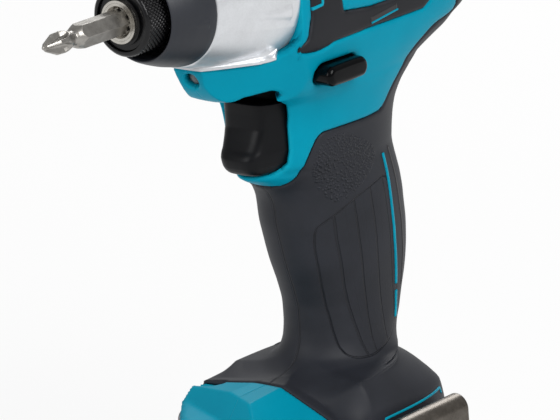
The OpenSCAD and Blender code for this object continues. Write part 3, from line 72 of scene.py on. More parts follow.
HEAD = [(.047, .424, .575, .68, 2.1, 2.1), (.119, .397, .579, .684, 2.4, 2.15), (.209, .386, .592, .704, 2.5, 2.2),
        (.299, .397, .625, .74, 2.5, 2.3), (.371, .435, .671, .784, 2.5, 2.4), (.405, .54, .706, .808, 2.5, 2.4),
        (.43, .67, .735, .824, 2.5, 2.4), (.469, .808, .795, .852, 2.6, 2.5), (.505, .872, .856, .876, 2.8, 2.6),
        (.532, .907, .897, .896, 3, 2.7), (.568, .943, .932, .92, 3, 2.8), (.622, .972, .963, .944, 3, 3.4),
        (.676, 1, .981, .964, 3.2, 3.8), (.766, 1, .995, .984, 4, 4.2), (.874, 1, 1, .996, 4, 4.2),
        (1, 1, 1, 1, 4, 4.2)]
CROWN = [(.26, 1, 1, .996, 4, 4.2), (.48, 1, .995, .968, 4, 4.2), (.667, 1, .981, .904, 4, 4.2),
         (.815, 1, .959, .784, 4, 4), (.926, 1, .926, .608, 4, 3.6), (.985, 1, .89, .42, 4, 3.4),
         (1, 1, .86, .004, 4, 3.2)]


def body_rows():
    """All section rows in millimetres: height, front, back, half width and the two powers."""
    parts = [(FOOT, FOOT_BASE, FOOT_TOP - FOOT_BASE, 0, FOOT_FRONT, FOOT_REAR, FOOT_W),
             (GRIP, FOOT_TOP, LIP_H - FOOT_TOP, GRIP_MID, GRIP_DEPTH, GRIP_DEPTH, GRIP_W),
             (HEAD, LIP_H, AXIS_H - LIP_H, 0, CHIN_REACH, HEAD_REAR, HEAD_W),
             (CROWN, AXIS_H, HEAD_RISE, 0, CHIN_REACH, HEAD_REAR, HEAD_W)]
    return np.array([(low + r[0]*rise, r[1]*front + mid, mid - r[2]*back, r[3]*wide/2, r[4], r[5])
                     for rows, low, rise, mid, front, back, wide in parts for r in rows])


def smooth_through(x, y, q):
    """Cubic curve through points (x, y) that doesn't overshoot between them: the inner slopes are harmonic means, and
    the end slopes those of the end pieces."""
    h, d = np.diff(x), np.diff(y, axis=0)/np.diff(x)[:, None]
    both = d[1:]*d[:-1]
    inner = np.where(both > 0, 2*both/np.where(both > 0, d[1:] + d[:-1], 1), 0)
    m = np.vstack([d[:1], inner, d[-1:]])
    i = np.clip(np.searchsorted(x, q, side="right") - 1, 0, len(h) - 1)
    t = ((q - x[i])/h[i])[:, None]
    hi = h[i][:, None]
    return ((1 + 2*t)*(1 - t)**2*y[i] + t*(1 - t)**2*hi*m[i] + t*t*(3 - 2*t)*y[i + 1] + t*t*(t - 1)*hi*m[i + 1])


ROWS = body_rows()


def section_at(z):
    """Front, back, half width and powers of the body at each height."""
    return smooth_through(ROWS[:, 0], ROWS[:, 1:], z)


def middle_half(s):
    """Middle and half depth of sections."""
    return (s[:, 0] + s[:, 1])/2, (s[:, 0] - s[:, 1])/2


def trimmed(p, n, c, keep):
    """Points pushed back along a plane's normal onto the plane, mirrored left to right."""
    flip = np.where(p[..., 1:2] < 0, [1, -1, 1], [1, 1, 1])
    m, q = n*flip, c*flip
    over = np.maximum(0, np.sum(m*(p - q), -1, keepdims=True))
    return p - m*keep[..., None]*over


def ramp(v, low, high):
    """Share of the way from low to high, held at 0 and 1."""
    return np.clip((v - low)/(high - low), 0, 1)


CREST = np.array([.68*FOOT_FRONT, .19*FOOT_W/2, FOOT_TOP])
TOE_FLATS = [((0, .466, .885), CREST, 0), ((0, -.148, .989), (0, -.44*FOOT_W/2, FOOT_TOP - 1.31), 0),
             ((.5, 0, .866), CREST, 0), ((.704, -.317, .635), CREST, LEDGE_H),
             ((.62, .785, 0), (FOOT_FRONT, .37*FOOT_W/2, 0), 0),
             ((.62, -.785, 0), (FOOT_FRONT, -.37*FOOT_W/2, 0), 0)]
TOE_HEART = np.array([2.0, 0, 44.0])


def entry(start, ray, r):
    """Share of a ray at which it first comes within r of the origin, from the roots of a quadratic."""
    a, b, c = np.sum(ray*ray, -1), np.sum(start*ray, -1), np.sum(start*start, -1) - r*r
    inside = b*b - a*c
    return np.where((inside > 0) & (b < 0), (-b - np.sqrt(np.maximum(inside, 0)))/np.maximum(a, 1e-9), FAR)


def facets(p):
    """The chin's two flat sides, and the toe: its points are drawn in along rays from its heart until they meet every
    flat. One flat ends above a ledge, and a round-ended groove crosses the right shoulder."""
    toe = ramp(p[..., 0], TOE_EDGE - FADE, TOE_EDGE)*ramp(p[..., 2], FOOT_TOP + FADE, FOOT_TOP)
    chin = ramp(p[..., 2], CRADLE_H + FADE, CRADLE_H)*ramp((p[..., 2] - LIP_H)/(AXIS_H - LIP_H), .36, .43)
    ray, share = p - TOE_HEART, np.ones(p.shape[:-1])
    for n, c, ledge in TOE_FLATS:
        rise = ray @ np.array(n)
        meet = np.where(rise > TINY, (np.array(c) - TOE_HEART) @ np.array(n)/np.maximum(rise, TINY), FAR)
        if ledge:
            steep = np.maximum(ray[..., 2], .1)
            meet = np.maximum(meet, np.where(ray[..., 2] > .1, (ledge - TOE_HEART[2])/steep, FAR))
        share = np.minimum(share, meet)
    groove = TOE_HEART - np.array([TOE_EDGE + GROOVE_AHEAD, -GROOVE_END*FOOT_W/2, FOOT_TOP - GROOVE_DROP])
    flat = np.array([1, 0, 1])
    pipe, ball = entry(groove*flat, ray*flat, GROOVE_R), entry(groove, ray, GROOVE_R)
    dip = np.where(groove[1] + pipe*ray[..., 1] < 0, pipe, ball)
    wall = TOE_EDGE + GROOVE_WALL
    dug = (p[..., 0] > wall) & (dip < share)
    p = TOE_HEART + ray*(1 + toe*(np.where(dug, dip, share) - 1))[..., None]
    p[..., 0] = np.where(dug, np.maximum(p[..., 0], wall), p[..., 0])
    return trimmed(p, CHIN_NORMAL, (CHIN_REACH, CHIN_HALF, CRADLE_H), chin)


def body_points(z, phi):
    """Body surface: at each height a squared ellipse about the section's middle, by direction angle phi."""
    s = section_at(z)
    mid, half = middle_half(s)
    c, d = np.cos(phi)[None, :], np.sin(phi)[None, :]
    power = np.where(c > 0, s[:, 3:4], s[:, 4:5])
    scale = (np.abs(c)**power + np.abs(d)**power)**(-1/power)
    x = mid[:, None] + half[:, None]*c*scale
    y = s[:, 2:3]*d*scale
    return facets(np.stack([x, y, np.broadcast_to(z[:, None], x.shape)], -1))


def side_y(x, z):
    """Half width of the body at places (x, z)."""
    s = section_at(z)
    mid, half = middle_half(s)
    u = np.clip((x - mid)/half, -.9999, .9999)
    power = np.where(u > 0, s[:, 3], s[:, 4])
    return s[:, 2]*(1 - np.abs(u)**power)**(1/power)


# Signed distances, negative inside
def outline_distance(points, x, z):
    """Distance to a closed outline of straight pieces, negative inside by the crossing rule."""
    a = np.asarray(points, float)
    b = np.roll(a, -1, 0)
    best = np.full(x.shape, 1e9)
    inside = np.zeros(x.shape, bool)
    for (ax, az), (bx, bz) in zip(a, b):
        ex, ez = bx - ax, bz - az
        t = np.clip(((x - ax)*ex + (z - az)*ez)/(ex*ex + ez*ez), 0, 1)
        best = np.minimum(best, (x - ax - t*ex)**2 + (z - az - t*ez)**2)
        cross = (az > z) != (bz > z)
        inside ^= cross & (x < ex*(z - az)/(ez if ez else 1e-9) + ax)
    return np.where(inside, -1, 1)*np.sqrt(best)


def stadium_distance(x, z, cx, cz, length, height):
    """Distance to a long level hole with round ends."""
    along = np.clip(x - cx, -(length - height)/2, (length - height)/2)
    return np.hypot(x - cx - along, z - cz) - height/2


def head_side(shares):
    """Outline points given as shares of the head's rear and of its height above the lip."""
    s = np.asarray(shares)
    return np.stack([s[:, 0]*HEAD_REAR, LIP_H + s[:, 1]*(AXIS_H - LIP_H)], 1)


def rounded(points, passes):
    """Outline with its corners cut a few times, which turns them into curves."""
    p = np.asarray(points, float)
    for _ in range(passes):
        q = np.roll(p, -1, 0)
        p = np.stack([.75*p + .25*q, .25*p + .75*q], 1).reshape(-1, 2)
    return p


GRIP_EDGE = rounded(np.vstack([head_side([
    (.34, -.06), (.17, -.066), (.112, -.077), (.094, -.05), (.082, -.005), (.072, .059),
    (.049, .126), (.023, .185), (-.013, .205), (-.315, .198), (-.366, .221),
    (-.415, .309), (-.452, .376), (-.503, .464), (-.558, .525), (-.621, .571), (-.75, .586), (-.771, .626),
    (-.752, .697), (-.767, 1.02), (-.822, 1.32), (-.904, 1.6), (-1.2, 1.6)]),
    [(-1.2*HEAD_REAR, 0), (TOE_EDGE, 0), (TOE_EDGE, FOOT_TOP + 3), (.34*HEAD_REAR, FOOT_TOP + 3)]]), 1)
PAD_EDGE = rounded(head_side([(.226, .687), (.148, .757), (.144, 1.1), (.12, 1.24), (-.66, 1.24), (-.69, 1.2),
                              (-.69, .69), (0, .694), (.068, .667), (.144, .663)]), 1)
PANEL = rounded(head_side([(-.04, .802), (-.03, .9), (-.02, 1.1), (-.62, 1.1), (-.64, .802)]), 1)
STIPPLE = rounded([(3.8, 123), (2, 130), (-7.5, 131.4), (-20, 124.5), (-21.6, 121), (-18.8, 117.6), (-7.4, 109.8),
                   (-2.8, 112)], 2)
FAN_EDGE = rounded([(-.2, 102.5), (-1, 104.5), (-4.7, 106.9), (-10.7, 110.4), (-17, 112.7), (-26.6, 115), (-27.4, 98),
                    (-29, 86), (-29.6, 74), (-27, 66), (-17, 63.4), (-10.5, 63.6), (-7.9, 64.6), (-6.7, 66.6),
                    (-6.3, 70), (-5.4, 78.6), (-2.7, 89.1), (-.9, 96.4)], 2)
FAN_LINES = [[(64, -1.5), (80, 0), (96, 3), (108, 5)],
             [(64, -14), (69.9, -12.6), (84.9, -8.8), (99.6, -5.6), (108, -4.6)],
             [(64, -17.2), (79.3, -15.6), (98.1, -12.3), (111, -10.8)],
             [(64, -23.6), (80, -21), (92.4, -19.1), (113, -17)]]
FAN_STEP = 6.0  # spacing behind the last line
VENTS = np.column_stack([head_side([(-.27, .743), (-.44, 1.17), (-.6, 1.17)]), np.array([.158, .13, .13])*HEAD_REAR])
SCREWS = [(-32.43, 52.41, -19.2), (20.96, 49.02, -24.27), (-30.38, 72.48, -10.25), (-5.57, 112.94, -11.92),
          (-45.73, 150.31, -17.09)]
OPENING_SIDE = np.array([(.55, 0), (.78, .05), (.91, .15), (.96, .32), (.98, .64), (1.1, 1), (1.3, 1.16), (1.29, 1.22),
                         (1.22, 1.25), (1.05, 1.23), (.8, 1.2), (.62, 1.15)])
OPENING_HALF, OPENING_LOW, OPENING_RISE = 12.0, 121.9, 21.4
OPENING = np.vstack([[(-FAR, OPENING_LOW)], OPENING_SIDE*[OPENING_HALF, OPENING_RISE] + [0, OPENING_LOW],
                     [(-FAR, OPENING_LOW + OPENING_RISE)]])
OPENING_BACK = 2  # the trigger's opening reaches back to this place
SCREW_HOLE, LEVER_SLOT = 3.2, (17.6, 6.6)
LAMP, LAMP_HOLE, LAMP_BACK, LAMP_TILT = np.array([34.79, 0, 153.82]), 2.5, 25, np.radians(20)
LAMP_WAY, LAMP_UP = np.array([np.cos(LAMP_TILT), 0, -np.sin(LAMP_TILT)]), np.array([.342, 0, .94])


def opening_distance(p):
    """Distance to everything that is cut out of the body: case, battery nose, trigger, lever, lamp, screws."""
    x, y, z = p[..., 0], p[..., 1], p[..., 2]
    q = p - LAMP
    along = q @ LAMP_WAY
    lamp = np.maximum(np.linalg.norm(q - along[..., None]*LAMP_WAY, axis=-1) - LAMP_HOLE, LAMP_BACK - x)
    u, v, r = x - CASE_EDGE + .1, z - CRADLE_H, CASE_CORNER
    case = np.where((u < r) & (v < r), np.hypot(r - u, r - v) - r, np.maximum(-u, -v))
    cuts = [case, np.maximum(NOSE_WALL - x, z - NOSE_TOP),
            np.maximum(outline_distance(OPENING, np.abs(y), z), OPENING_BACK - x),
            stadium_distance(x, z, LEVER_MID, LEVER_H, *LEVER_SLOT), lamp]
    cuts += [np.maximum(np.hypot(x - sx, z - sz) - SCREW_HOLE, y - sy) for sx, sz, sy in SCREWS]
    return np.min(cuts, 0)


def grip_distance(p):
    """Distance to the grip's rubber, by its outline in the side view."""
    return outline_distance(GRIP_EDGE, p[..., 0], p[..., 2])


def pad_distance(p):
    """Distance to the head's pads, which go round a panel."""
    x, z = p[..., 0], p[..., 2]
    return np.maximum(outline_distance(PAD_EDGE, x, z), -outline_distance(PANEL, x, z))


def shell_region(p):
    """Negative on the plastic: outside the rubber and the openings."""
    return np.max([SEAM - grip_distance(p), SEAM - pad_distance(p), -opening_distance(p)], 0)


def grip_region(p):
    """Negative on the grip's rubber."""
    return np.maximum(grip_distance(p) + SEAM, -opening_distance(p))


def pad_region(p):
    """Negative on the side pads."""
    return np.maximum(pad_distance(p) + SEAM, -opening_distance(p))


def sample(grid, v, u):
    """Values of a grid between its points, by straight blending of the four neighbours."""
    v, u = np.clip(v, 0, grid.shape[0] - 1.001), np.clip(u, 0, grid.shape[1] - 1.001)
    i, j = v.astype(int), u.astype(int)
    a, b = (v - i)[..., None], (u - j)[..., None]
    return ((1 - a)*(1 - b)*grid[i, j] + (1 - a)*b*grid[i, j + 1] + a*(1 - b)*grid[i + 1, j] + a*b*grid[i + 1, j + 1])


def unit(v):
    """Vectors brought to length 1."""
    return v/np.linalg.norm(v, axis=-1, keepdims=True)


def grid_normals(p):
    """Unit normals of a grid of points, from its two directions."""
    n = np.cross(np.gradient(p, axis=1), np.gradient(p, axis=0))
    return n/np.maximum(np.linalg.norm(n, axis=-1, keepdims=True), 1e-9)


def quads_of(rows, cols, keep=None):
    """Four corner numbers of each cell of a grid, for the cells that are kept."""
    i = np.arange(rows*cols).reshape(rows, cols)
    q = np.stack([i[:-1, :-1], i[:-1, 1:], i[1:, 1:], i[1:, :-1]], -1)
    return q[keep] if keep is not None else q.reshape(-1, 4)


def corners(f):
    """Values at the four corners of each cell of a grid."""
    return np.stack([f[:-1, :-1], f[1:, :-1], f[:-1, 1:], f[1:, 1:]])


def placed(name, data):
    """A new object in the scene."""
    obj = bpy.data.objects.new(name, data)
    SCENE.collection.objects.link(obj)
    return obj


def soften(obj, width, segments):
    """Round the sharp edges of a piece."""
    edge = obj.modifiers.new("edge", "BEVEL")
    edge.width, edge.segments, edge.limit_method, edge.angle_limit = width*MM, segments, "ANGLE", SHARP


def put(name, verts, quads, body, slot, material, nodes=(), fields=None, solid=0, bevel=0, offset=-1):
    """A mesh of millimetre points and quads: doubles merged, riding on a body, with its finish and its wall."""
    used, new = np.unique(quads, return_inverse=True)
    verts, quads = np.asarray(verts, float)[used]*MM, new.reshape(quads.shape)
    mesh = bpy.data.meshes.new(name)
    mesh.vertices.add(len(verts))
    mesh.vertices.foreach_set("co", verts.astype(np.float32).ravel())
    mesh.loops.add(quads.size)
    mesh.loops.foreach_set("vertex_index", quads.astype(np.int32).ravel())
    mesh.polygons.add(len(quads))
    mesh.polygons.foreach_set("loop_start", np.arange(0, quads.size, 4, dtype=np.int32))
    mesh.update(calc_edges=True)
    for key, values in (fields or {}).items():
        mesh.attributes.new(key, "FLOAT", "POINT").data.foreach_set("value", np.asarray(values, np.float32)[used])
    bm = bmesh.new()
    bm.from_mesh(mesh)
    bmesh.ops.remove_doubles(bm, verts=bm.verts, dist=2e-6)
    bmesh.ops.dissolve_degenerate(bm, edges=bm.edges, dist=1e-6)
    bm.to_mesh(mesh)
    bm.free()
    mesh.polygons.foreach_set("use_smooth", np.full(len(mesh.polygons), True))
    obj = placed(name, mesh)
    mesh.materials.append(material)
    if solid:
        wall = obj.modifiers.new("wall", "SOLIDIFY")
        wall.thickness, wall.offset = solid*MM, offset
    if bevel:
        soften(obj, bevel, 2)
    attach(obj, body)
    if nodes:
        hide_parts(*nodes)


def put_grid(name, grid, body, slot, material, nodes=(), flip=False, **wall):
    """A whole grid of points as one piece, with its faces turned over where asked."""
    quads = quads_of(*grid.shape[:2])
    put(name, grid.reshape(-1, 3), quads[:, ::-1] if flip else quads, body, slot, material, nodes, **wall)


def round_grid(centre, way, side, up, h, r, a):
    """Points about a line: h along its way, and r from it at the angle a from side to up."""
    return centre + h[..., None]*way + (r*np.cos(a))[..., None]*side + (r*np.sin(a))[..., None]*up


class Wire:
    """A socket that takes part in sums: each operator adds a Math node, and node() adds any other kind."""

    def __init__(self, tree, out=None):
        self.tree, self.out = tree, out

    def node(self, kind, settings=None, sockets=None, out=0):
        """New node with its settings and its inputs, each a value or another Wire."""
        n = self.tree.nodes.new(kind)
        for key, value in (settings or {}).items():
            setattr(n, key, value)
        for key, value in (sockets or {}).items():
            if isinstance(value, Wire):
                self.tree.links.new(value.out, n.inputs[key])
            elif value is not None:
                n.inputs[key].default_value = value
        return Wire(self.tree, n.outputs[out] if len(n.outputs) else None)

    def math(self, operation, a, b=None):
        """Math node on one or two values."""
        return self.node("ShaderNodeMath", {"operation": operation}, {0: a, 1: b})

    def field(self, name):
        """Value that a mesh carries at each point."""
        return self.node("ShaderNodeAttribute", {"attribute_name": name}, out=2)

    def __add__(self, other):
        return self.math("ADD", self, other)

    def __sub__(self, other):
        return self.math("SUBTRACT", self, other)

    def __rsub__(self, other):
        return self.math("SUBTRACT", other, self)

    def __mul__(self, other):
        return self.math("MULTIPLY", self, other)

    def __abs__(self):
        return self.math("ABSOLUTE", self)

    def step(self, low, high):
        """Smooth step from 0 at low to 1 at high."""
        return self.node("ShaderNodeMapRange", {"interpolation_type": "SMOOTHSTEP"},
                         {"Value": self, "From Min": low, "From Max": high, "To Min": 0.0, "To Max": 1.0})

    def over(self, a, b):
        """Colour a where this value is 0 and b where it is 1."""
        return self.node("ShaderNodeMix", {"data_type": "RGBA"}, {0: self, 6: a, 7: b}, 2)


def colour(r, g, b):
    """Screen colour 0 to 255 as the linear values that shaders take."""
    c = np.array([r, g, b])/255
    lin = np.where(c <= .04045, c/12.92, ((c + .055)/1.055)**2.4)
    return (*lin.tolist(), 1.0)


def finish(name, base, other, rough, metal=0.0, grain=1500, bump=.15, size=.00003, patch=60, spread=.08, extra=None,
           coat=0.0, wear=None, gleam=.5):
    """Moulded, cast or turned finish: broad patches between two tones, fine grain in roughness and bump, worn edges."""
    mat = bpy.data.materials.new(name)
    mat.use_nodes = True
    tree = mat.node_tree
    shader = tree.nodes["Principled BSDF"]
    w = Wire(tree)
    place = w.node("ShaderNodeTexCoord", out=3)
    broad, fine = (w.node("ShaderNodeTexNoise", None, {"Vector": place, "Scale": s, "Detail": d, "Roughness": r})
                   for s, d, r in ((patch, 4.0, .6), (grain, 3.0, .55)))
    tone = broad.step(.3, .7)*.75 + fine.step(.35, .65)*.25
    hue = tone.over(colour(*base), colour(*other))
    shine = (fine - .5)*spread*2 + (broad - .5)*spread + rough
    height = fine
    if wear:
        edge = 1 - w.field("edge").step(.1, .9)
        hue = (edge*broad.step(.4, .6)*.7).over(hue, colour(*wear))
        shine = shine - edge*.08
    if extra:
        hue, shine, height, bump = extra(w, place, hue, shine, height)
    tree.links.new(hue.out, shader.inputs["Base Color"])
    tree.links.new(shine.out, shader.inputs["Roughness"])
    shader.inputs["Metallic"].default_value = metal
    shader.inputs["Specular IOR Level"].default_value = gleam
    shader.inputs["Coat Weight"].default_value = coat
    shader.inputs["Coat Roughness"].default_value = .12
    relief = w.node("ShaderNodeBump", None, {"Strength": bump, "Distance": size, "Height": height})
    tree.links.new(relief.out, shader.inputs["Normal"])
    return mat


def rubber_relief(w, place, hue, shine, height):
    """Grip rubber: a stippled patch, and a fan of fine grooves whose panels step slightly. The grooves, the fan's
    outline and the seam line are darkened with painted shade, and the stipple's lumps are lightened with painted
    highlights.
    """
    fan, fan_edge, seam = w.field("fan"), w.field("fan_edge"), w.field("seam")
    stipple = 1 - w.field("stipple").step(-.5, .3)
    inside = 1 - fan_edge.step(-.1, .1)
    part = w.math("FRACT", fan + .5)
    groove = (1 - (abs(part - .5)*6.5).step(.12, .42))*inside
    rim = 1 - abs(fan_edge).step(.06, .32)
    line = w.math("MAXIMUM", w.math("MAXIMUM", groove, rim), 1 - abs(seam).step(.08, .3))
    dots = w.node("ShaderNodeTexVoronoi", {"feature": "F1"}, {"Vector": place, "Scale": 1050.0})
    lumps = (1 - dots.step(.1, .7))*stipple
    level = height*.1 + lumps*2.4 - line*1.5 + part*inside*.9
    # painted shade: the grooves, the fan's outline and the seam line are darkened towards near-black
    hue = (line*.42).over(hue, colour(20, 20, 24))
    # painted highlight: the stipple's lumps are lightened as if lit on their tops
    hue = (lumps*.4).over(hue, colour(66, 68, 74))
    return hue, shine + stipple*.05, level, 1.0


TEAL = finish("teal_plastic", (0, 136, 162), (0, 143, 169), .4, grain=2600, bump=.12, size=.00002,
              patch=45, spread=.05, wear=(14, 156, 180), gleam=.05)
RUBBER = finish("grip_rubber", (28, 30, 36), (36, 38, 45), .55, grain=3200, bump=.3, size=.0002,
                extra=rubber_relief, gleam=.28)
PAD_RUBBER = finish("pad_rubber", (19, 20, 25), (27, 28, 33), .52, grain=3200, bump=.25, size=.00004,
                    wear=(52, 53, 58), gleam=.25)
CASE = finish("case_metal", (205, 207, 210), (222, 224, 227), .4, metal=.75, grain=1800, bump=.35,
              size=.00004, patch=90, spread=.1)
BUMPER = finish("bumper_rubber", (31, 34, 41), (39, 42, 49), .45, grain=3000, bump=.2, gleam=.4)
BIT = finish("bit_steel", (146, 143, 138), (172, 169, 164), .36, metal=1.0, grain=4200, bump=.5, patch=400,
             spread=.16)
ANVIL = finish("anvil_steel", (176, 172, 164), (200, 197, 190), .26, metal=1.0, grain=1600, bump=.2,
               size=.00002, patch=300, spread=.12)
SLEEVE = finish("sleeve_black", (9, 9, 11), (15, 15, 18), .3, metal=.2, grain=2400, bump=.12, size=.00002,
                patch=200, spread=.1, coat=.1, gleam=.3)
TRIGGER = finish("trigger_plastic", (5, 6, 9), (9, 10, 14), .4, grain=3400, bump=.3, patch=120, gleam=.17)
LEVER = finish("lever_gloss", (1, 2, 3), (4, 5, 7), .14, grain=900, bump=.04, size=.00002, patch=90,
               spread=.04, gleam=.12)
CLIP = finish("clip_steel", (84, 79, 73), (108, 102, 95), .34, metal=.9, grain=1400, bump=.25, size=.00004,
              patch=160, spread=.14)
DARK = finish("black_plastic", (24, 24, 26), (32, 32, 35), .5, grain=2400, bump=.2)
BATTERY = finish("battery_plastic", (34, 34, 37), (42, 42, 46), .48, grain=2600, bump=.3)
SCREW = finish("screw_steel", (120, 120, 122), (150, 150, 152), .32, metal=1.0, grain=2200, bump=.3,
               size=.00002, patch=500, spread=.12)

INNER = {
    "bronze": ((150, 112, 66), (172, 130, 80), .4, .9), "spring_steel": ((128, 128, 132), (156, 156, 160), .3, 1.0),
    "bright_steel": ((176, 176, 178), (202, 202, 204), .25, 1.0),
    "dark_steel": ((96, 96, 98), (122, 122, 124), .35, 1.0),
    "can_steel": ((110, 114, 118), (134, 138, 142), .35, .9), "magnet": ((48, 48, 50), (60, 60, 62), .6, .1),
    "copper": ((164, 92, 48), (190, 112, 62), .35, .9), "carbon": ((30, 30, 31), (44, 44, 45), .6, .0),
    "tan_plastic": ((176, 156, 112), (192, 172, 126), .55, .0), "lamp_clear": ((44, 48, 50), (84, 88, 90), .1, .0),
    "board_green": ((28, 92, 46), (40, 112, 60), .4, .0), "contact_brass": ((184, 154, 88), (208, 178, 110), .3, 1.0),
    "lead_red": ((112, 26, 26), (136, 34, 32), .45, .0), "cell_wrap": ((46, 120, 150), (60, 138, 168), .3, .0)}
MADE = {"teal_plastic": TEAL, "grip_rubber": PAD_RUBBER, "case_metal": CASE, "bumper_rubber": BUMPER, "bit_steel": BIT,
        "anvil_steel": ANVIL, "sleeve_black": SLEEVE, "trigger_plastic": TRIGGER, "lever_gloss": LEVER,
        "clip_steel": CLIP, "black_plastic": DARK, "battery_plastic": BATTERY, "screw_steel": SCREW}
MADE.update({slot: finish(slot, a, b, rough, metal=metal, grain=2000, bump=.25, patch=300, spread=.1)
             for slot, (a, b, rough, metal) in INNER.items()})
for part in frame["record"]["subparts"]:
    cad = frame["nodes"][part["node"]]
    cad.data.materials.clear()
    cad.data.materials.append(MADE[part["material_slot"]])

for node in ("spring_washer", "retaining_ring"):
    frame["nodes"][node].data.materials[0] = SLEEVE

# Body surface as one fine grid, then cut into its plastic shell, its grip skin and its side pads
fine_z = np.linspace(ROWS[0, 0], ROWS[-1, 0], 6000)
fine_s = section_at(fine_z)
travel = np.cumsum(np.max(np.abs(np.diff(np.column_stack([fine_z, fine_s[:, :3]]), axis=0)), axis=1))
row_count, quarter = 300, 92
heights = np.interp(np.linspace(0, travel[-1], row_count), np.concatenate([[0], travel]), fine_z)
angles = np.linspace(0, 2*np.pi, 4*quarter + 1)
SKIN = body_points(heights, angles)
SKIN_OUT = grid_normals(SKIN)
SKIN_OUT *= np.where(np.mean(SKIN_OUT[..., 1]*SKIN[..., 1]) < 0, -1, 1)


def fan_field(x, z):
    """Place among the fan's grooves: 0 on the first, 1 on the next and so on, straight in between."""
    lines = [np.interp(z, [p[0] for p in f], [p[1] for p in f]) for f in FAN_LINES]
    c = np.minimum((lines[0] - x)/(lines[0] - lines[1]), 1)
    for a, b in zip(lines[1:-1], lines[2:]):
        c = c + np.clip((a - x)/(a - b), 0, 1)
    return c + np.maximum((lines[-1] - x)/FAN_STEP, 0)


ON_EDGE, CELLS_OFF, HALVINGS = .04, 1.5, 9
PULLS, PULL_REACH, PULL_STEP, STRAY, STRAY_OFF = 3, 3, 1.2, .35, 5


def snapped(d, dist, vi, ui, region):
    """Grid places of the corners that missed the edge: each goes towards its deepest neighbour, and the crossing is
    found by halving."""
    rows, cols = d.shape
    v0, u0 = np.indices(d.shape)
    missed = (d > 0) & ((np.abs(dist) > ON_EDGE) | (np.hypot(vi - v0, ui - u0) > CELLS_OFF))
    deep, step_v, step_u = np.zeros((3, rows, cols))
    middle = np.abs(SKIN[..., 1]) < TINY
    for sv, su in ((0, 1), (0, -1), (1, 0), (-1, 0), (1, 1), (1, -1), (-1, 1), (-1, -1)):
        there = d[np.clip(v0 + sv, 0, rows - 1), np.clip(u0 + su, 0, cols - 1)]
        better = (there < deep) & ~(middle & (su != 0))
        deep, step_v, step_u = (np.where(better, n, o) for n, o in ((there, deep), (sv, step_v), (su, step_u)))
    at = np.nonzero(missed & (deep < 0))
    low, high = np.zeros(len(at[0])), np.ones(len(at[0]))
    for _ in range(HALVINGS):
        mid = (low + high)/2
        outside = region(sample(SKIN, at[0] + mid*step_v[at], at[1] + mid*step_u[at])) > 0
        low, high = np.where(outside, mid, low), np.where(outside, high, mid)
    vi[at], ui[at] = at[0] + high*step_v[at], at[1] + high*step_u[at]
    return vi, ui


def walled(points, out, quads, depth):
    """A surface with its wall: its copy moved in by a depth, and faces between the open edges of the two."""
    edges = np.stack([quads, np.roll(quads, -1, 1)], -1).reshape(-1, 2)
    _, first, count = np.unique(np.sort(edges, 1), axis=0, return_index=True, return_counts=True)
    a, b = edges[first[count == 1]].T
    n = len(points)
    rim = np.stack([b, a, a + n, b + n], 1)
    return np.concatenate([points, points - out*depth]), np.concatenate([quads, quads[:, ::-1] + n, rim])


def cut_piece(name, side, region, lift, round_in, slot, material, nodes, depth):
    """Part of the body grid where a signed distance is negative. Corners just outside it are pulled onto its edge,
    and its rim is rounded inwards by a quarter circle."""
    d = region(SKIN)
    gv, gu = np.gradient(d)
    vi, ui = np.indices(d.shape).astype(float)
    dist = d
    for _ in range(PULLS):
        g2 = np.maximum(gv**2 + gu**2, 1e-4)
        pull = np.where((d > 0) & (d < PULL_REACH), dist, 0)
        dv, du = (np.clip(pull*g/g2, -PULL_STEP, PULL_STEP) for g in (gv, gu))
        du = np.where(np.abs(SKIN[..., 1]) < TINY, 0, du)
        vi, ui = vi - dv, ui - du
        dist = region(sample(SKIN, vi, ui))
    vi, ui = snapped(d, dist, vi, ui, region)
    points = sample(SKIN, vi, ui)
    dist = region(points)
    out = sample(SKIN_OUT, vi, ui)
    near = np.clip((dist + round_in)/round_in, 0, 1)
    shift = lift - .45*round_in*(1 - np.sqrt(np.maximum(0, 1 - near**2)))
    points = points + out*shift[..., None]
    half = SKIN.shape[1]//2
    keep = corners(d).min(0) < 0
    cols = np.arange(keep.shape[1])
    keep &= (cols < half if side > 0 else cols >= half)[None, :]
    stray = (dist > STRAY) | (np.linalg.norm(points - SKIN, axis=-1) > STRAY_OFF)
    keep &= ~corners(stray).any(0)
    x, y, z = points.reshape(-1, 3).T
    fields = {"edge": -dist.ravel(), "fan": fan_field(x, z), "fan_edge": outline_distance(FAN_EDGE, x, z),
              "stipple": outline_distance(STIPPLE, x, z), "seam": np.where(x > GRIP_MID, y - .6, FAR)}
    verts, quads = walled(points.reshape(-1, 3), out.reshape(-1, 3), quads_of(*SKIN.shape[:2], keep), depth)
    put(name, verts, quads, "housing", slot, material, nodes, {key: np.tile(f, 2) for key, f in fields.items()})


# Name, region, lift, rounding, slot, finish, node, wall
CUTS = [("shell_", shell_region, -.08, 1.1, "teal_plastic", TEAL, "housing_", 2.6),
        ("grip_skin_", grip_region, 0, .8, "grip_rubber", RUBBER, "grip_", 1.2),
        ("pad_skin_", pad_region, 0, .8, "grip_rubber", PAD_RUBBER, "side_pad_", 1.2)]
for label, side in SIDES:
    for name, region, lift, round_in, slot, material, node, depth in CUTS:
        cut_piece(name + label, side, region, lift, round_in, slot, material, [node + label], depth)


def even_path(points, count):
    """Even points along a path of straight pieces."""
    p = np.asarray(points, float)
    t = np.concatenate([[0], np.cumsum(np.hypot(*np.diff(p, axis=0).T))])
    s = np.linspace(0, t[-1], count)
    return np.column_stack([np.interp(s, t, p[:, 0]), np.interp(s, t, p[:, 1])])


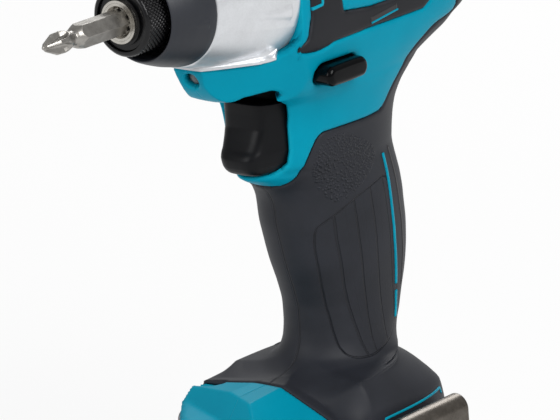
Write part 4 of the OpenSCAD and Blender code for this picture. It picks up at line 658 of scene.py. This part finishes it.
def turned(name, profile, body, slot, material, nodes=(), around=128, relief=None, along=None):
    """Turned surface about the bit axis: profile points (x, r) carried round, with an optional relief added to r."""
    p = even_path(profile, along) if along else np.asarray(profile, float)
    a = np.linspace(0, 2*np.pi, around + 1)
    x = np.broadcast_to(p[:, :1], (len(p), around + 1))
    r = np.broadcast_to(p[:, 1:], x.shape)
    if relief:
        r = r + relief(x, a[None, :]*np.ones_like(x))
    put_grid(name, round_grid(AXIS, AHEAD, LEFT, UP, x, r, a), body, slot, material, nodes)


def fillet(points, radius, steps=4):
    """Open profile with each inner corner replaced by a short curve."""
    p = np.asarray(points, float)
    out = [p[:1]]
    for a, b, c in zip(p[:-2], p[1:-1], p[2:]):
        u, v = a - b, c - b
        lu, lv = np.linalg.norm(u), np.linalg.norm(v)
        k = min(radius, lu*.45, lv*.45)
        s, e = b + u/lu*k, b + v/lv*k
        t = np.linspace(0, 1, steps + 1)[:, None]
        out.append((1 - t)**2*s + 2*t*(1 - t)*b + t*t*e)
    return np.vstack(out + [p[-1:]])


def apart(a, angle):
    """Turn from one angle to another, the short way round."""
    return np.arctan2(np.sin(a - angle), np.cos(a - angle))


def both_sides(degrees):
    """Angles about the bit axis that lie so far below the middle, on the left and on the right."""
    return -np.radians(degrees), np.pi + np.radians(degrees)


def wedge(x, a, angle, tip, wide, height, spread):
    """Pointed rib on a turned face: it starts at a tip and grows wider and higher towards the back."""
    t = np.clip((tip - x)/(tip - wide), 0, 1)
    inside = (x < tip) & (x > wide)
    side = np.abs(apart(a, angle))
    return np.where(inside, height*t*np.clip(1.6*(1 - side/np.maximum(spread*t, TINY)), 0, 1), 0)


CASE_RIB, BUMPER_RIB = (30.6, 17.6, .75, .11), (50.6, 44, .5, .09)  # tip, wide end, height, spread
CASE_CONE = np.array([(14.5, 23.9), (15.6, 24), (22, 22.55), (30, 20.45), (38, 17.85)])
CASE_PROFILE = np.vstack([[(13, 18.6), (13, 23.2)], CASE_CONE, [(40.7, 16.9), (40.9, 14)]])


def case_relief(x, a):
    """Cast ribs: a wedge on each side, a fine raised line below it, and a lip low down over the cradle."""
    r = np.zeros_like(x)
    for angle in both_sides(13):
        r += wedge(x, a, angle, *CASE_RIB)
    for angle in both_sides(23.5):
        r += .22*np.clip(1 - np.abs(apart(a, angle))/.012, 0, 1)*((x > 14.6) & (x < 30))
    return r + .5*ramp(-np.sin(a), .86, .92)


turned("case_shell", fillet(CASE_PROFILE, .8), "housing", "case_metal", CASE, ["hammer_case"], 256, case_relief, 120)


def case_radius(x):
    """Outside radius of the case along its axis."""
    return np.interp(x, *CASE_CONE.T)


RIM_H, RIM_TOP, RIM_IN, RIM_SUNK = 1.2, 5.2, .35, .6
SEAT_IN, SEAT_R, SEAT_FAR = 10, 22.5, 36


def rim_grid():
    """Rim on the cradle, swept along the edge of the body's cut: up by its thickness, then a hollow curve to the case.
    Where the edge turns up at its back corner, the section turns with it and sinks into the case."""
    p = body_points(np.array([CRADLE_H]), np.linspace(-1.6, 1.6, 181))[0]
    x = np.clip(p[:, 0], CASE_EDGE, None)
    turn = np.clip(1 - (x - CASE_EDGE)/CASE_CORNER, 0, 1)
    rise = np.sqrt(1 - turn**2)
    base = CRADLE_H + .1 + CASE_CORNER*(1 - rise)
    nx, ny, nz = CHIN_NORMAL
    flat = CHIN_HALF + (nx*(CHIN_REACH - x) - nz*(base - CRADLE_H))/ny
    side = side_y(x, base)
    side = side - ramp(base, CRADLE_H + FADE, CRADLE_H)*np.maximum(0, side - flat)
    y = np.where(turn > 0, side, np.abs(p[:, 1]))
    tight = np.maximum(y - RIM_IN, 0)

    def on_case(d):
        """Half width of the case, d along the rim's section."""
        return np.sqrt(np.maximum(case_radius(x + d*turn)**2 - (AXIS_H - base - d*rise)**2, 0))

    far = np.where(on_case(RIM_TOP) > 0, RIM_TOP, RIM_H)
    inner = np.minimum(on_case(RIM_H), tight)
    top = np.minimum(on_case(RIM_TOP), np.maximum(tight, .98*on_case(RIM_TOP)))
    t = np.linspace(0, 1, 9)[1:, None]
    steps = np.concatenate([np.array([0, .75, 1.05, RIM_H])[:, None] + 0*y, RIM_H + t*t*(far - RIM_H)])
    wide = np.concatenate([[y, y, np.maximum(y - .12, 0), tight], (1 - t)**2*tight + 2*t*(1 - t)*inner + t*t*top])
    wide = wide - ramp(turn, .4, .75)*np.maximum(0, wide - on_case(steps) + RIM_SUNK)
    lean = np.minimum(np.arange(len(steps)), 3)[:, None]*np.where(y < 4.8, .11, 0)
    return np.stack([x + steps*turn - lean, wide*np.sign(p[:, 1]), base + steps*rise], -1)


def seat_grid():
    """Flat wall round the back of the case: from the case out to the body's outline at that place, by angle."""
    a = np.linspace(-.95, np.pi + .95, 181)
    r = np.linspace(SEAT_IN, SEAT_FAR, 521)[None, :]
    z = AXIS_H + r*np.sin(a)[:, None]
    crown = AXIS_H + HEAD_RISE
    wide = side_y(np.full(z.size, CASE_EDGE), np.clip(z.ravel(), CRADLE_H, crown - .1)).reshape(z.shape)
    held = (np.abs(r*np.cos(a)[:, None]) < wide - .5) & (z > CRADLE_H - .4) & (z < crown - .5)
    outer = np.max(np.where(held, r, SEAT_IN), 1)
    both = np.stack([np.minimum(outer, SEAT_R), outer], 0)
    return round_grid(AXIS, AHEAD, LEFT, UP, np.full_like(both, CASE_EDGE - .15), both, a)


put_grid("case_seat", seat_grid(), "housing", "teal_plastic", TEAL, flip=True, solid=.8)
put_grid("case_rim", rim_grid(), "housing", "case_metal", CASE)

BUMPER_PROFILE = [(40.9, 14.1), (40.9, 16.9), (41.4, 17.15), (43, 17), (47.8, 15.75), (51, 14.6), (53.4, 13.6),
                  (54.9, 12.7), (54.4, 12.25), (44.2, 12.25)]


def bumper_relief(x, a):
    """Two small pointed ribs on the bumper's sides."""
    return sum(wedge(x, a, angle, *BUMPER_RIB) for angle in both_sides(9))


turned("bumper_ring", fillet(BUMPER_PROFILE, .5), "housing", "bumper_rubber", BUMPER, ["nose_bumper"], 192,
       bumper_relief, 110)

SLEEVE_PROFILE = np.vstack([fillet([(45.5, 7.4), (45.5, 9.2), (46.4, 9.6), (51.6, 9.6)], .3),
                            np.column_stack([np.linspace(52.2, 60.1, 92), np.full(92, 10.0)]),
                            fillet([(60.4, 9.9), (60.8, 9.5), (61, 9.1), (61, 8.4), (53, 8.4)], .15)])
ANVIL_PROFILE = fillet([(56, 6.02), (60.9, 6.02), (61.5, 5.9), (62, 5.5), (62, 5), (61.5, 4.75), (60.6, 4.1),
                        (58.5, 3.72)], .25, 5)


def knurl(x, a):
    """Diamond knurl: two crossing families of helical grooves between the band's ends."""
    band = ramp(x, 52.3, 52.7)*ramp(x, 60.2, 59.8)
    count, pitch, depth, wide = 46, 1.36, .34, .3
    u, v = a*count/(2*np.pi), x/pitch
    groove = np.minimum(np.abs((u + v) % 1 - .5), np.abs((u - v) % 1 - .5))
    return -depth*band*np.clip(1 - groove/wide, 0, 1)


turned("sleeve_knurled", SLEEVE_PROFILE, "sleeve", "sleeve_black", SLEEVE, ["sleeve"], 414, knurl)
turned("anvil_ring", ANVIL_PROFILE, "anvil", "anvil_steel", ANVIL, (), 96)

HEX_R, HEX_END, NECK_END = 3.175, 79.7, 82.2


def bit_radius(x, a):
    """Bit: a hexagon with corners up and down, chamfered to a neck, then a cross tip of four wings, hollow between."""
    hexa = HEX_R/np.cos((a + np.pi/6 - np.pi/2) % (np.pi/3) - np.pi/6)
    cone = np.interp(x, [77.4, 79.7, 80.4, 81.2, 82.2, 83.6, 84.6, 87.2, 91.1, 91.7],
                     [3.75, 2.75, 2.2, 2.12, 2.5, 2.9, 3.02, 2.9, 1.1, .25])
    core = np.interp(x, [82.2, 84.5, 88, 91.7], [2.45, 1.75, 1.05, .2])
    wing = np.interp(x, [82.2, 85, 91.7], [2.2, .95, .42])
    across = np.abs(np.sin(2*(a - np.radians(20))))/2
    fin = np.minimum(cone, np.maximum(core, wing/np.maximum(across*1.5, 1e-3)))
    return np.where(x < HEX_END, np.minimum(hexa, cone), np.where(x < NECK_END, cone, fin))


bit_x = np.concatenate([[41.7, 41.7, 43], np.linspace(46, 77.3, 20), np.linspace(77.5, 91.7, 110), [91.7]])
bit_a = np.linspace(0, 2*np.pi, 241)
bit_r = bit_radius(bit_x[:, None], bit_a[None, :])
bit_r[[0, -1]] = 0
put_grid("bit_cross", round_grid(AXIS, AHEAD, LEFT, UP, bit_x[:, None], bit_r, bit_a), "anvil", "bit_steel", BIT,
         ["bit"])

TRIGGER_LOW, TRIGGER_RISE, TRIGGER_BACK, TRIGGER_HALF = 122.2, 20.6, 8.4, 10.2
SIDE_EASE, FRONT_EASE = 3, 3.4  # how far a ridge's curve runs out on each face


def trigger_grid():
    """At each height the sides slant in to two rounded ridges, with a slightly bulged front between them."""
    v = np.concatenate([np.linspace(0, .16, 24), np.linspace(.17, .985, 70), [1]])
    front = np.interp(v, [0, .02, .05, .09, .14, .2, .26, .32, .38, .5, .65, .85, 1],
                      [14.8, 16.6, 18.1, 18.9, 19.45, 19.72, 19.8, 19.2, 18.2, 16.85, 15.6, 15.15, 15.05])
    front = np.convolve(np.pad(front, 2, mode="edge"), np.array([1, 4, 6, 4, 1])/16, "valid")
    limit = TRIGGER_HALF*np.interp(v, [0, .05, .15, .32, 1], [.55, .78, .93, 1, 1])
    ridge = np.minimum(np.interp(v, [0, .12, .3, .55, 1], [4.9, 5.5, 6, 6.7, 7.2]), limit - .2)
    ridge = np.convolve(np.pad(ridge, 6, mode="edge"), np.ones(13)/13, "valid")
    z = TRIGGER_LOW + TRIGGER_RISE*v
    t = np.linspace(0, 1, 11)[None, :, None]
    back = np.stack([np.full_like(z, TRIGGER_BACK), limit], -1)
    corner = np.stack([front, ridge], -1)
    middle = np.stack([front + .2, 0*ridge], -1)
    a, b = corner + unit(back - corner)*SIDE_EASE, corner + unit(middle - corner)*FRONT_EASE
    curve = (1 - t)**2*a[:, None] + 2*t*(1 - t)*corner[:, None] + t**2*b[:, None]
    half = np.concatenate([back[:, None], curve, middle[:, None]], 1)
    whole = np.concatenate([half*[1, -1], half[:, -2::-1]], 1)
    g = np.concatenate([whole, np.broadcast_to(z[:, None, None], whole.shape[:2] + (1,))], -1)
    lids = g[[0, -1]]*UP + TRIGGER_BACK*AHEAD
    return np.concatenate([lids[:1], g, lids[1:]])


put_grid("trigger_grip", trigger_grid(), "trigger", "trigger_plastic", TRIGGER, ["trigger"], bevel=.5)

LEVER_RIGHT, LEVER_LEFT, LEVER_R, LEVER_CORE, LEVER_ROUND = -19, 27, 3.0, 5.5, 1.7


def lever_grid():
    """Long bar with round-ended section carried through the body; the ends are drawn in by a quarter circle."""
    a = np.linspace(0, 2*np.pi, 97)
    ease = np.linspace(0, np.pi/2, 9)
    run, draw = LEVER_ROUND*(1 - np.cos(ease)), LEVER_ROUND*(1 - np.sin(ease))
    y = np.concatenate([[LEVER_RIGHT], LEVER_RIGHT + run, LEVER_LEFT - run[::-1], [LEVER_LEFT]])
    r = LEVER_R - np.concatenate([[LEVER_R], draw, draw[::-1], [LEVER_R]])
    core = np.full(len(y), LEVER_CORE)
    core[[0, -1]] = 0
    x = LEVER_MID + core[:, None]*np.clip(np.cos(a)*3, -1, 1) + r[:, None]*np.cos(a)
    z = LEVER_H + r[:, None]*np.sin(a)
    return np.stack([x, np.broadcast_to(y[:, None], x.shape), z], -1)


put_grid("lever_bar", lever_grid(), "lever", "lever_gloss", LEVER, ["reversing_lever"], True)


def strip(name, points, width, proud, slot, material, side, count):
    """Thin raised strip that lies on the side of the body along a path in the side view, with a rounded section."""
    p = even_path(points, count)
    y = side_y(p[:, 0], p[:, 1])
    line = np.column_stack([p[:, 0], y, p[:, 1]])
    way = unit(np.gradient(line, axis=0))
    e = .2
    dx = (side_y(p[:, 0] + e, p[:, 1]) - side_y(p[:, 0] - e, p[:, 1]))/(2*e)
    dz = (side_y(p[:, 0], p[:, 1] + e) - side_y(p[:, 0], p[:, 1] - e))/(2*e)
    out = unit(np.column_stack([-dx, np.ones_like(dx), -dz]))
    cross = np.cross(way, out)
    u = np.array([-1, -1, -.7, 0, .7, 1, 1])*width/2
    h = np.array([-.5, .55*proud, .9*proud, proud, .9*proud, .55*proud, -.5])
    g = line[:, None] + cross[:, None]*u[None, :, None] + out[:, None]*h[None, :, None]
    ends = np.stack([np.repeat(g[k].mean(0)[None], len(u), 0) - out[k]*.5 for k in (0, -1)])
    g = np.concatenate([ends[:1], g, ends[1:]])
    g[..., 1] *= side
    put_grid(name, g, "housing", slot, material, flip=side < 0)


# Name, path, width, height, slot, finish, points
STRIPS = [
    ("grip_line_", [(-25.5, 120), (-26, 114.3), (-26.4, 107), (-26.8, 100), (-27.1, 95), (-27.8, 90), (-28.5, 85),
                    (-28.9, 80.6)], 1.15, .35, "teal_plastic", TEAL, 60),
    ("grip_line_low_", [(-29.1, 78.4), (-29.3, 74), (-29.1, 70.5)], 1.2, .35, "teal_plastic", TEAL, 16),
    # painted shade: the grip's slot is a thin dark strip laid on the rubber, not a cut
    ("grip_slot_shade_", [(-29.6, 121), (-31.2, 110), (-32.2, 100), (-33, 90), (-33.2, 79)], 1.0, .16,
     "grip_rubber", DARK, 60),
    ("pad_notch_", [(10.6, 171), (6.4, 171.4), (6.0, 175)], .9, .3, "teal_plastic", TEAL, 20)]
VENT_SLOPE = .057
for label, side in SIDES:
    for name, path, width, proud, slot, material, count in STRIPS:
        strip(name + label, path, width, proud, slot, material, side, count)
    for k, (vx, vz, length) in enumerate(VENTS):
        run = [(vx + q*length/2, vz - q*VENT_SLOPE*length) for q in (-1, 1)]
        edge = [(x - .3, z - .85) for x, z in run]
        # painted shade: each vent's opening is a thin dark strip laid on the surface in place of a hole
        strip("vent_%d_%s" % (k, label), run, 1.7, .05, "black_plastic", DARK, side, 24)
        strip("vent_edge_%d_%s" % (k, label), edge, .6, .2, "teal_plastic", TEAL, side, 24)
strip("clip_slot_rim", [(-4.6, 46.5), (-4.8, 49.2), (-34.2, 49.2), (-34.8, 47.4)], .7, .3, "teal_plastic", TEAL, 1, 60)

# Belt clip: a strip bent in Y and Z and carried along X, with a hole over its screw
CLIP_BASE, BEND_R, BEND_H, CLIP_HALF, CLIP_HOLE, CLIP_WALL = 27.85, 3.25, 45.3, 13, 3, 1.5
CLIP_OUT = CLIP_BASE + 2*BEND_R
arc = np.linspace(np.pi, 0, 25)
clip_yz = np.vstack([[(CLIP_BASE, 38.6), (CLIP_BASE, 42)],
                     np.column_stack([CLIP_BASE + BEND_R + BEND_R*np.cos(arc), BEND_H + BEND_R*np.sin(arc)]),
                     np.column_stack([np.full(30, CLIP_OUT), np.linspace(44, 11, 30)]),
                     [(CLIP_OUT + .4, 9), (CLIP_OUT + 1.4, 6.6), (CLIP_OUT + 2, 5.1)]])
clip_x = CLIP_X + np.linspace(-CLIP_HALF, CLIP_HALF, 66)
clip_grid = np.stack(np.broadcast_arrays(clip_x, clip_yz[:, :1], clip_yz[:, 1:]), -1)
from_hole = (clip_grid - [CLIP_X, 0, CLIP_H])*(AHEAD + UP)
hole = np.hypot(from_hole[..., 0], from_hole[..., 2]) - CLIP_HOLE
hole = np.where(clip_grid[..., 1] > CLIP_BASE + BEND_R, hole, FAR)
pull = np.where((hole < 0) & (hole > -1.1), hole, 0)
clip_cut = clip_grid - from_hole/np.maximum(hole + CLIP_HOLE, .5)[..., None]*pull[..., None]
put("clip_strip", clip_cut.reshape(-1, 3), quads_of(*hole.shape, corners(hole).max(0) > 0), "housing", "clip_steel",
    CLIP, ["belt_clip"], solid=CLIP_WALL, bevel=.35, offset=0)


def screw_head(centre, way, r, depth):
    """Screw head: a turned disc with a soft rim and a six-lobed recess."""
    a = np.linspace(0, 2*np.pi, 73)
    lobes = r*(.42 + .06*np.cos(6*a))
    prof = [(0, -depth), (r, -depth), (r, -.25), (r*.93, 0), (r*.6, .06)]
    recess = [(.05, 1), (-.9, .92), (-.95, 0)]
    h = np.array([h for _, h in prof] + [h for h, _ in recess])
    q = np.array([np.full_like(a, q) for q, _ in prof] + [lobes*k for _, k in recess])
    side = np.cross(way, UP)
    return round_grid(centre, way, side, np.cross(side, way), h[:, None], q, a)


HEAD_SUNK, HEAD_R, HEAD_DEPTH = 1.25, 2.9, 1.2
CLIP_HEAD_Y, CLIP_HEAD_R, CLIP_HEAD_DEPTH = 30.6, 2.8, 1.9
heads = np.array([screw_head(np.array([x, y - HEAD_SUNK, z]), -LEFT, HEAD_R, HEAD_DEPTH) for x, z, y in SCREWS])
quads = quads_of(*heads.shape[1:3])[:, ::-1]
quads = np.concatenate([quads + i*heads[0].size//3 for i in range(len(heads))])
put("screw_heads", heads.reshape(-1, 3), quads, "housing", "screw_steel", SCREW, ["housing_screws"])
head = screw_head(np.array([CLIP_X, CLIP_HEAD_Y, CLIP_H]), LEFT, CLIP_HEAD_R, CLIP_HEAD_DEPTH)
put_grid("clip_screw_head", head, "housing", "screw_steel", SCREW, ["clip_screw"], True)

# Lamp: a domed lens in its hole
lens_r = np.array([0, .7, 1.3, 1.8, 2.15, 2.3, 2.3, 0])
lens_h = np.array([-1.2, -1.24, -1.4, -1.65, -2.0, -2.4, -4.2, -4.2])
lens = round_grid(LAMP, LAMP_WAY, LEFT, LAMP_UP, lens_h[:, None], lens_r[:, None], np.linspace(0, 2*np.pi, 49))
put_grid("lamp_lens", lens, "housing", "lamp_clear", MADE["lamp_clear"], ["led_lens"], True)

# Softer edges on the solids that stay
for name, width in (("battery_tray", .9), ("battery_cover", .6), ("battery_latch", .5)):
    node = frame["nodes"][name]
    node.modifiers.new("weld", "WELD").merge_threshold = TINY
    soften(node, width, 3)

# Camera as fitted to the photograph
TILT, ROLL, TURN = np.radians([16.0, -4.4, 180 - 48.9])
DISTANCE, FOCAL_PIXELS, PHOTO_W, SENSOR = 1397, 5000, 560, 36  # mm, pixels, pixels, mm
AIM = np.array([2.2, 0, AXIS_H - 68.3])
right = np.array([np.cos(TURN), np.sin(TURN), 0])
upward = np.array([-np.sin(TURN)*np.sin(TILT), np.cos(TURN)*np.sin(TILT), np.cos(TILT)])
back = np.array([np.sin(TURN)*np.cos(TILT), -np.cos(TURN)*np.cos(TILT), np.sin(TILT)])
pose = np.eye(4)
pose[:3, 0] = np.cos(ROLL)*right + np.sin(ROLL)*upward
pose[:3, 1] = np.cos(ROLL)*upward - np.sin(ROLL)*right
pose[:3, 2] = back
pose[:3, 3] = (AIM + back*DISTANCE)*MM
cam = placed("camera", bpy.data.cameras.new("camera"))
cam.data.sensor_width, cam.data.lens = SENSOR, SENSOR*FOCAL_PIXELS/PHOTO_W
cam.data.clip_start, cam.data.clip_end = .05, 50
cam.matrix_world = Matrix(pose.tolist())
SCENE.camera = cam

# Floor, world and lamps
w = 6.0  # half of the floor's side, in metres
floor_mesh = bpy.data.meshes.new("floor")
floor_mesh.from_pydata([(-w, -w, 0), (w, -w, 0), (w, w, 0), (-w, w, 0)], [], [(0, 1, 2, 3)])
floor = placed("floor", floor_mesh)
pale = bpy.data.materials.new("pale_floor")
pale.use_nodes = True
wire = Wire(pale.node_tree)
pale.node_tree.nodes.clear()
seen = wire.node("ShaderNodeLightPath")
rays = seen.out.node.outputs
camera, glossy, through = (Wire(wire.tree, rays["Is %s Ray" % k]) for k in ("Camera", "Glossy", "Transmission"))
white_rays = wire.math("MAXIMUM", camera, wire.math("MAXIMUM", glossy, through))
matt = wire.node("ShaderNodeBsdfDiffuse", None, {"Color": (.82, .82, .82, 1)})
glow = wire.node("ShaderNodeEmission", None, {"Color": (1, 1, 1, 1), "Strength": 1.0})
surface = wire.node("ShaderNodeMixShader", None, {0: white_rays*.82, 1: matt, 2: glow})
wire.node("ShaderNodeOutputMaterial", None, {0: surface})
floor_mesh.materials.append(pale)

world = bpy.data.worlds.new("studio")
world.use_nodes = True
SCENE.world = world
wire = Wire(world.node_tree)
world.node_tree.nodes.clear()
seen = wire.node("ShaderNodeLightPath")
plain = wire.node("ShaderNodeBackground", None, {"Color": (1, 1, 1, 1), "Strength": .4})
bright = wire.node("ShaderNodeBackground", None, {"Color": (1, 1, 1, 1), "Strength": 1.0})
sky = wire.node("ShaderNodeMixShader", None, {0: seen, 1: plain, 2: bright})
wire.node("ShaderNodeOutputWorld", None, {0: sky})


def lamp(name, place, aim, size, power):
    """Soft square lamp at a place, turned to a point."""
    data = bpy.data.lights.new(name, "AREA")
    data.size, data.energy = size, power
    obj = placed(name, data)
    obj.location = place
    obj.rotation_mode = "QUATERNION"
    obj.rotation_quaternion = (Vector(aim) - Vector(place)).to_track_quat("-Z", "Y")


middle = (0, 0, .12)
lamp("key", (.25, 1.1, .95), middle, .7, 12.5)
lamp("front", (1.2, -.25, .7), middle, .6, 5.5)
lamp("rim", (-.9, -.5, .9), middle, .6, 7)
SCENE.view_settings.view_transform = "Standard"
